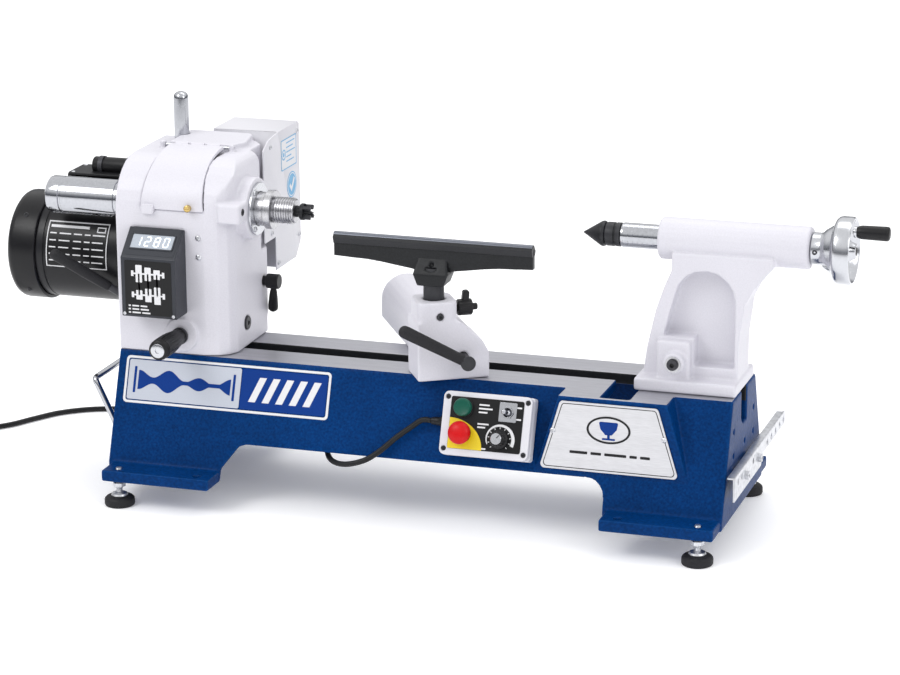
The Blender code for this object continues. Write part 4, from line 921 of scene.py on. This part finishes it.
def make_electronics_box():
    shape = cad_shape("electronics_box")
    piece("electronics_case", shape, "sheet", "electronics_box", edges=0.5, smooth=42)
    right = at(225.0, 0, 0) @ FACING["yz"]
    detail("case_sticker", prism(rectangle(124, 196, 178, 236, 2), 0.02, 0.22), "mark", "electronics_box", right)
    edge = carved(prism(rectangle(124, 196, 178, 236, 2), 0.03, 0.3),
                  prism(rectangle(125.4, 197.4, 176.6, 234.6, 1.4), -1, 2))
    detail("case_sticker_edge", edge, "sky", "electronics_box", right)
    rows = [prism(rectangle(142, 229 - 6 * i, 142 + wide, 230.6 - 6 * i, 0.5), 0.03, 0.3)
            for i, wide in enumerate((30, 24, 31, 18, 27))]
    detail("case_sticker_rows", together(*rows), "sky", "electronics_box", right)
    detail("case_sticker_spot", together(moved(washer(7, 5.2, 0.03, 0.3, 40), at(133, 216)),
          moved(disc(2.8, 0.03, 0.3, 32), at(133, 216))), "sky", "electronics_box", right)
    detail("case_disc", moved(disc(17, 0.02, 0.24, 72), at(160, 172)), "sky", "electronics_box", right)
    tick = [(151, 171), (154, 174.4), (158.4, 169.4), (167, 181), (170.4, 178.2), (158.8, 162.6)]
    detail("case_disc_mark", together(moved(washer(15.4, 14.2, 0.03, 0.34, 72), at(160, 172)),
          prism(tick[::-1], 0.03, 0.34)), "mark", "electronics_box", right)
    for y, z in ((86, 236), (86, 124), (108, 80), (182, 238), (184, 100)):
        cross_screw(f"case_screw_{y}_{z}", "electronics_box", at(225, y, z, "x"), 3.2, 1.8)
    grille = [washer(17.5, 15.4, -0.2, 1.4, 64)]
    grille += [moved(box((-16, -0.7, -0.2), (16, 0.7, 1.0)), Matrix.Rotation(math.radians(45 * i), 4, "Z"))
               for i in range(4)]
    grille += [washer(r + 0.7, r - 0.7, -0.2, 1.1, 48) for r in (5, 10)]
    detail("case_fan_guard", together(*grille), "zinc", "electronics_box", at(170, 113.8, 150, "-y"))
    fins = [box((x, 0, 0), (x + 2.2, 7.5, 120)) for x in range(150, 214, 6)]
    plate = box((147, -0.2, -2), (217, 1.5, 122))
    detail("case_heat_sink", together(plate, *fins), "black", "electronics_box", at(0, 188.9, 108), edges=0.3)


def make_levers():
    hub = together(lathe([(0, 8), (8.6, 8), (9.5, 7), (9.5, -7.6), (8.8, -8.6), (0, -8.6)], 48),
                   disc(6.0, -40, -8, 32))
    piece("plate_clamp_hub", hub, "plastic", "plate_clamp_lever", at(238, 55, 70, "x"))
    grip = [(0, 43.8), (3.9, 43.4), (6.2, 40.8), (6.5, 36), (5.8, 26), (4.6, 15), (3.2, 10), (3.0, 0), (0, 0)]
    detail("plate_clamp_grip", lathe(grip, 48), "plastic", "plate_clamp_lever",
          aimed((238, 55, 70), (232, 66, 28)))
    bar = [(0, 302), (3.2, 301.8), (5.6, 301.0), (7.6, 299.4), (8.9, 297.2), (9.5, 294), (9.5, 52), (8.5, 50), (0, 50)]
    piece("knockout_rod", lathe(bar, 64), "chrome", "knockout_bar", at(106, 84, 0))
    root, tip = (62.9, -5.2, 50.6), (-25, -42, 113)
    length = (Vector(tip) - Vector(root)).length
    grip = [(0, length), (3.2, length - 0.3), (5.4, length - 1.7), (6.8, length - 4.4), (7.2, length - 9)]
    grip += levels(7.1, length - 12, 60, 10) + [(6.4, 34), (6.2, 29), (5.6, 27)]
    piece("tension_lever_grip", lathe(grip + [(4.6, 26.5), (0, 26.5)], 72), "rubber", "tension_lever",
          aimed(root, tip), smooth=50)
    detail("tension_lever_rod", lathe([(0, 27), (4.9, 27), (5.0, 0.6), (0, 0)], 48), "iron", "tension_lever",
          aimed(root, tip))


# ---------------------------------------------------------------- motor

def wrapped(x0, x1, z0, z1, low, high, steps=10):
    """A patch on the motor's round body, between two heights on its front."""
    bm = bmesh.new()
    rows = []
    for i in range(steps + 1):
        z = z0 + (z1 - z0) * i / steps
        angle = math.asin((z - MOTOR_Z) / MOTOR_R)
        row = []
        for radius in (low, high):
            y = MOTOR_Y - radius * math.cos(angle)
            level = MOTOR_Z + radius * math.sin(angle)
            row.append([bm.verts.new((x, y, level)) for x in (x0, x1)])
        rows.append(row)
    for (inner_a, outer_a), (inner_b, outer_b) in zip(rows, rows[1:]):
        bm.faces.new((outer_a[0], outer_a[1], outer_b[1], outer_b[0]))
        bm.faces.new((inner_a[1], inner_a[0], inner_b[0], inner_b[1]))
        bm.faces.new((outer_a[0], outer_b[0], inner_b[0], inner_a[0]))
        bm.faces.new((outer_a[1], inner_a[1], inner_b[1], outer_b[1]))
    for row, order in ((rows[0], 1), (rows[-1], -1)):
        corners = [row[0][0], row[0][1], row[1][1], row[1][0]]
        bm.faces.new(corners[::order])
    bmesh.ops.recalc_face_normals(bm, faces=bm.faces)
    return bm


def make_motor():
    line = at(0, MOTOR_Y, MOTOR_Z, "x")
    body = [(9.0, 66), (60, 66), (63.6, 65.4), (65.5, 63.5), (65.5, 56), (64.6, 55.2), (64.6, 54), (65.5, 53.2),
            (65.5, -52), (64.6, -52.8), (64.6, -54), (65.5, -54.8), (65.5, -64), (36, -64), (36, 58), (9.0, 58)]
    piece("motor_shell", lathe(body, 128), "black", "motor_body", line)
    cap = [(0, -102.5), (55, -102.5), (63, -100), (66.5, -95), (66.5, -64.3), (68.6, -64.3), (69.8, -65.2),
           (70, -66.6), (70, -94), (69.4, -97.6), (67.6, -100.8), (64.4, -103.2), (60, -104.8), (52, -105.8),
           (30, -106), (0, -106)]
    slots = []
    for ring_r, count in ((20, 10), (34, 18), (48, 24)):
        for i in range(count):
            slots.append(moved(prism(rectangle(ring_r - 5, -1.7, ring_r + 5, 1.7, 1.6), -115, -97),
                               Matrix.Rotation(2 * math.pi * i / count, 4, "Z")))
    piece("motor_cowl", carved(lathe(cap, 128), together(*slots)), "black", "motor_end_cap", line)
    for i in range(4):
        angle = math.radians(45 + 90 * i)
        cross_screw(f"cowl_screw_{i}", "motor_end_cap", at(-82, MOTOR_Y, MOTOR_Z) @
                    Matrix.Rotation(angle, 4, "X") @ at(0, 0, 69.8), 3.4, 1.6, "iron")
    detail("nameplate", wrapped(-50, 36, 83, 141, 65.6, 66.0), "legend", "motor_body")
    border = together(wrapped(-49, 35, 138.6, 139.8, 65.9, 66.2), wrapped(-49, 35, 84.2, 85.4, 65.9, 66.2),
                      wrapped(-49, -47.8, 85.4, 138.6, 65.9, 66.2), wrapped(33.8, 35, 85.4, 138.6, 65.9, 66.2))
    detail("nameplate_border", border, "mark", "motor_body")
    rows = [wrapped(-45, 8, 132.8, 135.6, 65.9, 66.25)]
    for row in range(5):
        z = 127 - 8.4 * row
        for x, wide in ((-45, 9), (-32, 16), (-12, 11), (3, 8), (14, 17)):
            rows.append(wrapped(x, x + wide - (row * x) % 3, z - 1.5, z, 65.9, 66.15))
    detail("nameplate_rows", together(*rows), "mark", "motor_body")
    corner = together(wrapped(19, 31, 134.6, 135.8, 65.9, 66.2), wrapped(19, 31, 129.6, 130.8, 65.9, 66.2),
                      wrapped(19, 20.2, 129.6, 135.8, 65.9, 66.2), wrapped(29.8, 31, 129.6, 135.8, 65.9, 66.2))
    detail("nameplate_stamp", corner, "mark", "motor_body")
    housing, neck = (carved(box(low, high), moved(disc(MOTOR_R + 0.3, -90, 90, 128), line))
                     for low, high in (((-52, 74, 160), (28, 126, 188)), ((-30, 84, 152), (10, 112, 168))))
    piece("terminal_housing", together(housing, neck), "plastic", "terminal_box", edges=2.0)
    detail("terminal_lid", prism(rectangle(-52, 74, 28, 126, 5), 181, 188.8), "plastic", "terminal_box", edges=1.0)
    can = [(0, 38), (9.6, 38), (11, 36.6), (11, -22.6), (10.2, -24), (0, -24)]
    detail("start_capacitor_can", lathe(can, 64), "plastic", "terminal_box", at(0, 100, 195, "x"))
    bands = [moved(washer(12.2, 10.5, x, x + 6, 64), at(0, 100, 195, "x")) for x in (-16, 22)]
    detail("capacitor_clips", together(*bands), "iron", "terminal_box")
    for x, y in ((-46, 80), (22, 80), (-46, 120), (22, 120)):
        cross_screw(f"terminal_screw_{x}_{y}", "terminal_box", at(x, y, 188.6), 2.6, 1.3)


make_headstock()
make_spindle_line()
make_lock_knob()
make_display()
make_electronics_box()
make_levers()
make_motor()


# ---------------------------------------------------------------- control box

PANEL = tilted(570, -95, -6, 69.4)               # x across, -y down the slope, z out of the panel


def on_panel(x, down):
    return PANEL @ Matrix.Translation((x, -down, 0))


def make_control_box():
    piece("control_case", cast(cad_shape("control_box"), 0.8, 6), "sheet", "control_box", smooth=80)
    lid = prism(rectangle(-55.5, -77, 55.5, 0, 7), -9.2, 0)
    holes = [moved(disc(r, -20, 20, 48), at(x, -down)) for x, down, r in
             ((-29.3, 18.9, 8.4), (-28.8, 50.0, 8.4), (26.3, 20.6, 6.4), (18.7, 53.5, 4.4))]
    corners = [(x, -down) for x in (-50, 50) for down in (7, 69.6)]
    seats = [moved(disc(3.6, -1.6, 5, 32), at(x, y)) for x, y in corners]
    piece("control_lid", cast(carved(lid, *holes, *seats), 0.7, 5), "sheet", "control_panel", PANEL, smooth=80)
    for index, (x, y) in enumerate(corners):
        cross_screw(f"lid_screw_{index}", "control_panel", PANEL @ Matrix.Translation((x, y, -1.5)), 3.1, 1.5, "iron")
    legend = carved(prism(rectangle(-45.5, -69, 46, -6, 2.5), 0.02, 0.5), *(moved(disc(r, -20, 20, 48),
                    at(x, -down)) for x, down, r in ((-29.3, 18.9, 10.6), (-28.8, 50.0, 9), (26.3, 20.6, 6.4),
                                                     (18.7, 53.5, 4.4))))
    detail("legend_plate", legend, "legend", "control_panel", PANEL)
    sector = [(-45.2, -68.8)] + [(-45.2 + 43 * math.cos(a), -68.8 + 37 * math.sin(a))
                                 for a in (math.radians(90 * i / 32) for i in range(33))]
    detail("stop_sector", carved(prism(sector, 0.3, 0.8), moved(disc(9, -5, 5, 48), at(-28.8, -50))), "yellow",
          "control_panel", PANEL)
    wedge = [(16.5 * math.cos(a) * (1.0 + 0.2 * i / 40), 16.5 * math.sin(a) * (1.0 + 0.2 * i / 40))
             for i, a in ((i, math.radians(205 - 230 * i / 40)) for i in range(41))]
    base = [(15.4 * math.cos(a), 15.4 * math.sin(a)) for a in (math.radians(205 - 230 * i / 40) for i in range(41))]
    marks = [moved(prism(wedge + base[::-1], 0.4, 0.7), at(18.7, -53.5))]
    for i in range(11):
        tick = prism(rectangle(12.6, -0.45, 14.6, 0.45), 0.4, 0.7)
        marks.append(moved(tick, at(18.7, -53.5) @ Matrix.Rotation(math.radians(225 - 27 * i), 4, "Z")))
    for x, y, wide in ((-10, -13, 13), (-10, -17.5, 17), (-10, -22, 11), (-10, -36, 14), (-10, -40, 10),
                       (35.5, -13, 8), (35.5, -27, 8), (-6, -65.5, 9)):
        marks.append(prism(rectangle(x, y - 1.9, x + wide, y, 0.4), 0.4, 0.65))
    detail("legend_marks", together(*marks), "mark", "control_panel", PANEL)
    plate_shape = carved(prism(rectangle(15.5, -32, 37.5, -8.5, 1.5), 0.3, 1.4),
                         moved(disc(6.4, -5, 5, 48), at(26.3, -20.6)))
    detail("switch_plate", plate_shape, "chrome", "control_panel", PANEL, edges=0.25)
    nut = carved(prism([(7.6 * math.cos(math.radians(60 * i)), 7.6 * math.sin(math.radians(60 * i)))
                        for i in range(6)], 1.4, 3.6), disc(5.6, -5, 9, 40))
    detail("switch_nut", nut, "chrome", "control_panel", on_panel(26.3, 20.6), edges=0.3)

    start = [(0, 8.0), (8.4, 8.1), (9.4, 8.5), (10.4, 8.1), (11, 7.1), (11, 2.6), (8.0, 2.6), (8.0, -7), (0, -7)]
    piece("start_cap", lathe(start, 72), "green", "start_button", on_panel(-29.3, 18.9))
    collar = [(8.6, 2.4), (10.4, 2.4), (12.2, 1.6), (12.6, 0.4), (12.6, 0.0), (8.6, 0.0)]
    detail("start_collar", lathe(collar, 72), "plastic", "control_panel", on_panel(-29.3, 18.9))
    stop = [(0, 19), (4, 18.8), (8, 17.9), (11, 16.3), (13, 14.2), (14, 11.8), (14, 10.2), (13.2, 8.8), (10.5, 7.7),
            (8.0, 7.4), (8.0, -7), (0, -7)]
    piece("stop_mushroom", lathe(stop, 96, knurl(36, 0.1, 9.5, 12.2)), "red", "stop_button", on_panel(-28.8, 50),
          smooth=50)
    detail("stop_collar", lathe([(8.4, 3.0), (10.2, 3.0), (11.4, 2.0), (11.8, 0.6), (8.4, 0.6)], 72), "plastic",
          "control_panel", on_panel(-28.8, 50))
    toggle = [(0, 21), (1.5, 20.8), (2.5, 20.0), (3.0, 18.6), (2.9, 16.4), (2.3, 12), (1.7, 5), (1.7, 3.4),
              (4.0, 1.4), (4.5, -1), (4.6, -3), (4.0, -6), (0, -6)]
    piece("toggle_bat", lathe(toggle, 48), "chrome", "direction_switch", on_panel(26.3, 20.6))
    knob = [(0, 15.3), (7.0, 15.3), (8.0, 15.0), (8.7, 14.0), (9.2, 6.4), (10.4, 4.8), (11.5, 4.2), (11.6, 1.0),
            (11.2, 0.6), (4.0, 0.6), (4.0, -7), (0, -7)]
    piece("speed_knob_skirt", lathe(knob, 108, knurl(18, 0.3, 5.5, 14.2)), "plastic", "speed_knob",
          on_panel(18.7, 53.5))
    detail("speed_knob_cap", lathe([(0, 15.5), (6.4, 15.5), (6.8, 15.2), (6.8, 14.8), (0, 14.8)], 64), "turned",
          "speed_knob", on_panel(18.7, 53.5))
    pointer = prism(rectangle(-0.6, 1.2, 0.6, 6.2), 15.3, 15.5)
    detail("speed_knob_pointer", pointer, "legend", "speed_knob",
          on_panel(18.7, 53.5) @ Matrix.Rotation(math.radians(-40), 4, "Z"))
    gland = [(0, 4), (5.0, 4), (5.0, -0.4), (7.0, -0.4), (7.0, -5.4), (6.2, -6.4), (5.4, -7.4), (5.0, -12),
             (4.5, -18), (0, -18)]
    piece("gland_body", lathe(gland, 72, knurl(6, 0.4, -5.5, -0.3)), "plastic", "cable_gland",
          at(*(PANEL @ Vector((-55.5, -37.4, -19))), "x"), smooth=50)


# ---------------------------------------------------------------- banjo and tool rest

BANJO = Matrix.Translation((487.6, 0, 0)) @ Matrix.Rotation(math.radians(32), 4, "Z")
TOWER = Matrix.Translation((-29.8, -52.2, 0))
POST = BANJO @ TOWER
REST = Matrix.Translation(POST.translation)


def make_banjo():
    piece("banjo_casting", cast(cad_shape("banjo")), "casting", "banjo", smooth=80)
    shaft = [(0, 212), (6.2, 212), (7.0, 211), (7.0, -100), (8.8, -100), (9.2, -101), (9.2, -103.4), (8.6, -104),
             (0, -104)]
    piece("cam_shaft", lathe(shaft, 48), "iron", "banjo_cam_lever", BANJO @ at(0, 0, 27, "y"))
    hub = BANJO @ Vector((0, -97, 27))
    tip = BANJO @ Vector((-84, -103, 76))
    length = (tip - hub).length
    grip = [(0, length), (3.4, length - 0.3), (5.8, length - 1.8), (7.3, length - 4.6), (7.8, length - 10)]
    grip += [(7.8 - 1.2 * t, length - 10 - (length - 18) * t) for t in (0.1, 0.3, 0.5, 0.7, 0.9, 1.0)]
    grip += [(5.8, 2), (3.6, -1.5), (0, -2)]
    detail("cam_grip", lathe(grip, 72), "rubber", "banjo_cam_lever", aimed(hub, tip), smooth=50)
    dress("steel", "banjo_clamp_plate", "banjo_clamp_bolt", "tail_clamp_plate")
    detail("banjo_front_screw", carved(lathe([(0, 1), (3.6, 1), (4.2, 0.2), (4.2, -5), (0, -5)], 32),
          disc(2.0, -0.5, 4, 6)), "iron", "banjo", POST @ at(2, -24.4, 80, "-y"))


def make_tool_rest():
    half, top, low = 126.0, 173.0, 131.0
    web = [(-half, top - 4), (-half, top - 30), (-half + 20, top - 31), *((-100 + 72 * t, top - 31 - 9 *
           t ** 1.6) for t in (0.25, 0.5, 0.75)), (-26, low + 2.5), (-18, low), (18, low), (26, low + 2.5),
           *((100 - 72 * t, top - 31 - 9 * t ** 1.6) for t in (0.75, 0.5, 0.25)), (half - 20, top - 31),
           (half, top - 30), (half, top - 4)]
    middle = moved(prism(web, -4.5, 4.5), FACING["-y"])
    piece("rest_blade", cast(middle, 1.0, 3), "iron", "tool_rest", REST, smooth=80)
    bar = [(-6.0, top - 14), (-9.0, top - 6), *arc((-1.5, top - 5.5), 5.5, 158, 24, 16), (8.5, top - 9),
           (5.6, top - 14)]
    detail("rest_lip", moved(prism(bar, -half, half), FACING["yz"]), "iron",
          "tool_rest", REST, edges=0.5)
    strip = [*arc((-1.5, top - 5.5), 5.56, 150, 30, 12), (2.6, top - 4.2), (-5.6, top - 4.2)]
    detail("rest_polished_edge", moved(prism(strip[::-1], -half + 0.4, half - 0.4), FACING["yz"]), "rail", "tool_rest",
          REST)
    socket = bmesh.new()
    for wide, deep, z in ((16.5, 15.5, 116), (22, 15.5, 130), (18, 3.9, 149)):
        for x, y in ((-wide, -deep), (wide, -deep), (wide, deep), (-wide, deep)):
            socket.verts.new((x, y, z))
    bmesh.ops.convex_hull(socket, input=socket.verts)
    bore, screw_hole = disc(13.0, 100, 138), moved(disc(2.8, 5, 20, 24), at(0, 0, 141, "-y"))
    detail("rest_hub", cast(carved(socket, bore, screw_hole), 1.0, 10), "iron", "tool_rest", REST,
          smooth=80)
    post = [(0, 137), (12.2, 137), (12.7, 136.4), (12.7, 27.5), (11.4, 26), (0, 26)]
    piece("rest_post_bar", lathe(post, 72), "iron", "rest_post", REST)
    arm = BANJO @ TOWER @ at(0, 0, 84, "x")
    drum = [(0, 54), (3.2, 54), (4.2, 53), (4.2, 47), (8.8, 47), (9.8, 45.8), (9.8, 30.2), (8.8, 29), (0, 29)]
    piece("rest_clamp_hub", together(lathe(drum, 72, knurl(14, 0.35, 30, 46)), disc(5.0, 13.6, 30, 32)), "plastic",
          "rest_clamp", arm)
    blade = prism(rounded([(34, 3), (43, 3), (44, 21), (36, 21)], 3, 6), -4.0, 4.0)
    detail("rest_clamp_arm", moved(blade, FACING["-y"]), "plastic", "rest_clamp", POST @ Matrix.Translation((0, 0, 84)),
          edges=1.4, segments=4)


# ---------------------------------------------------------------- tailstock

def make_tailstock():
    piece("tailstock_casting", cast(cad_shape("tailstock")), "casting", "tailstock", smooth=80)
    line = at(0, 0, AXIS_Z, "x")
    quill = [(7.6, 905), (15.0, 905)]
    for i in range(1, 8):
        x = 756 - 6.2 * i
        quill += [(15.0, x + 0.3), (14.88, x), (15.0, x - 0.3)]
    quill += [(15.0, 711.5), (14.4, 709.6), (13.2, 708.5), (9.4, 708.5), (8.9, 772), (7.6, 773)]
    piece("quill_tube", lathe(quill, 96), "chrome", "quill", line, smooth=20)
    wheel = [(0, 992), (8, 992), (9, 991.4), (11, 986), (13.5, 982.6), (20, 979.4), (28, 977.6), (31, 978.6),
             (33.4, 983), (35.4, 987.4), (37.4, 989.4), (39.2, 989.2), (40.4, 987), (40.5, 984), (40.5, 975),
             (39.8, 971.6), (38, 969), (34, 967.2), (30, 965.6), (26.5, 960.5), (23.4, 955.6), (20, 952.6), (19.2, 950),
             (19.2, 941.4), (18.4, 940.2), (7.0, 940.2), (7.0, 778), (0, 778)]
    holes = [moved(disc(4.6, 940, 1000, 32), at(0, 0) @ Matrix.Rotation(math.radians(a), 4, "Z") @ at(24.5, 0))
             for a in (40, 130, 310)]
    piece("tail_wheel_turned", carved(lathe(wheel, 128), *holes), "turned", "tail_handwheel", line)
    detail("tail_wheel_screw", carved(lathe([(0, 0.9), (4.6, 0.9), (5.2, 0.3), (5.2, -2), (0, -2)], 40),
          disc(2.6, -0.2, 4, 6)), "iron", "tail_handwheel", at(991.8, 0, AXIS_Z, "x"))
    detail("tail_wheel_hub_screw", carved(lathe([(0, 1.2), (2.6, 1.2), (3.0, 0.8), (3.0, -2), (0, -2)], 32),
          disc(1.5, 0, 4, 6)), "iron", "tail_handwheel", at(946, -19.0, AXIS_Z, "-y"))
    grip = [(0, 1035), (5.6, 1034.8), (7.6, 1034), (8.5, 1032.2), (8.6, 1029), (8.3, 1012), (8.1, 1002), (7.4, 999),
            (6.5, 997), (6.0, 995.4), (3.0, 995), (3.0, 991.4), (0, 991.4)]
    where = at(0, -22, AXIS_Z + 29, "x")
    piece("crank_grip", lathe(grip, 72), "plastic", "crank_handle", where, smooth=45)
    detail("crank_ferrule", lathe([(3.2, 996.2), (6.3, 996.2), (6.6, 995.6), (6.6, 993.4), (6.3, 992.8), (3.2, 992.8)],
          64), "turned", "crank_handle", where)
    shell = [(0, 770), (8.4, 770), (8.9, 708.2), (13.9, 708.2), (14.5, 707.6), (14.5, 702.5), (13.7, 702),
             (13.7, 700.4), (14.5, 700), (14.5, 691.8), (13.4, 689.6), (5.6, 689.6), (5.6, 703), (0, 703)]
    piece("live_centre_shell", lathe(shell, 96), "iron", "live_centre_body", line)
    point = [(0, 702), (5.0, 702), (5.0, 689.3), (13.0, 689.3), (14.8, 688.4), (15.5, 687), (15.4, 685.2),
             (14.9, 683.6), (1.0, 661.4), (0, 660.6)]
    piece("live_centre_cone", lathe(point, 96), "iron", "live_centre_point", line)
    lock = at(806, 0, AXIS_Z, "y")
    piece("quill_lock_hub", lathe([(0, 46), (6.8, 46), (7.8, 45), (8, 43), (8, 28), (7.2, 26.6), (5.0, 26), (5.0, 15.6),
          (0, 15.6)], 48), "plastic", "quill_lock", lock)
    lean = Matrix.Translation((806, 38, AXIS_Z)) @ Matrix.Rotation(math.radians(150), 4, "Y")
    detail("quill_lock_bar", lathe([(0, 52), (3, 51.7), (5.2, 50), (6, 46.4), (5.6, 38), (4.4, 16), (4.0, 0), (0, 0)],
          48), "plastic", "quill_lock", lean)
    cam = [(0, 74), (6.4, 74), (7.0, 73.4), (7.0, -61), (6.2, -63), (0, -63)]
    piece("tail_cam_shaft", carved(lathe(cam, 48), disc(3.2, -70, -60.4, 6)), "iron", "tail_clamp_lever",
          at(787, 0, 38.6, "y"))
    bend = Matrix.Translation((787, 67, 38.6)) @ Matrix.Rotation(math.radians(30), 4, "Y")
    grip = [(0, 104), (3.4, 103.7), (5.8, 102.2), (7.3, 99.6), (7.8, 94)] + levels(7.7, 90, 66, 5)
    grip += [(6.6, 40), (6.4, 34), (6.0, 30), (0, 30)]
    detail("tail_lever_grip", lathe(grip, 64), "rubber", "tail_clamp_lever", bend, smooth=50)
    detail("tail_lever_rod", lathe([(0, 31), (5.1, 31), (5.2, 0), (0, 0)], 40), "iron", "tail_clamp_lever", bend)
    detail("tail_cam_bush", washer(9.6, 7.2, 56.8, 58.4, 48), "steel", "tailstock", at(787, 0, 38.6, "-y"))


make_control_box()
make_banjo()
make_tool_rest()
make_tailstock()
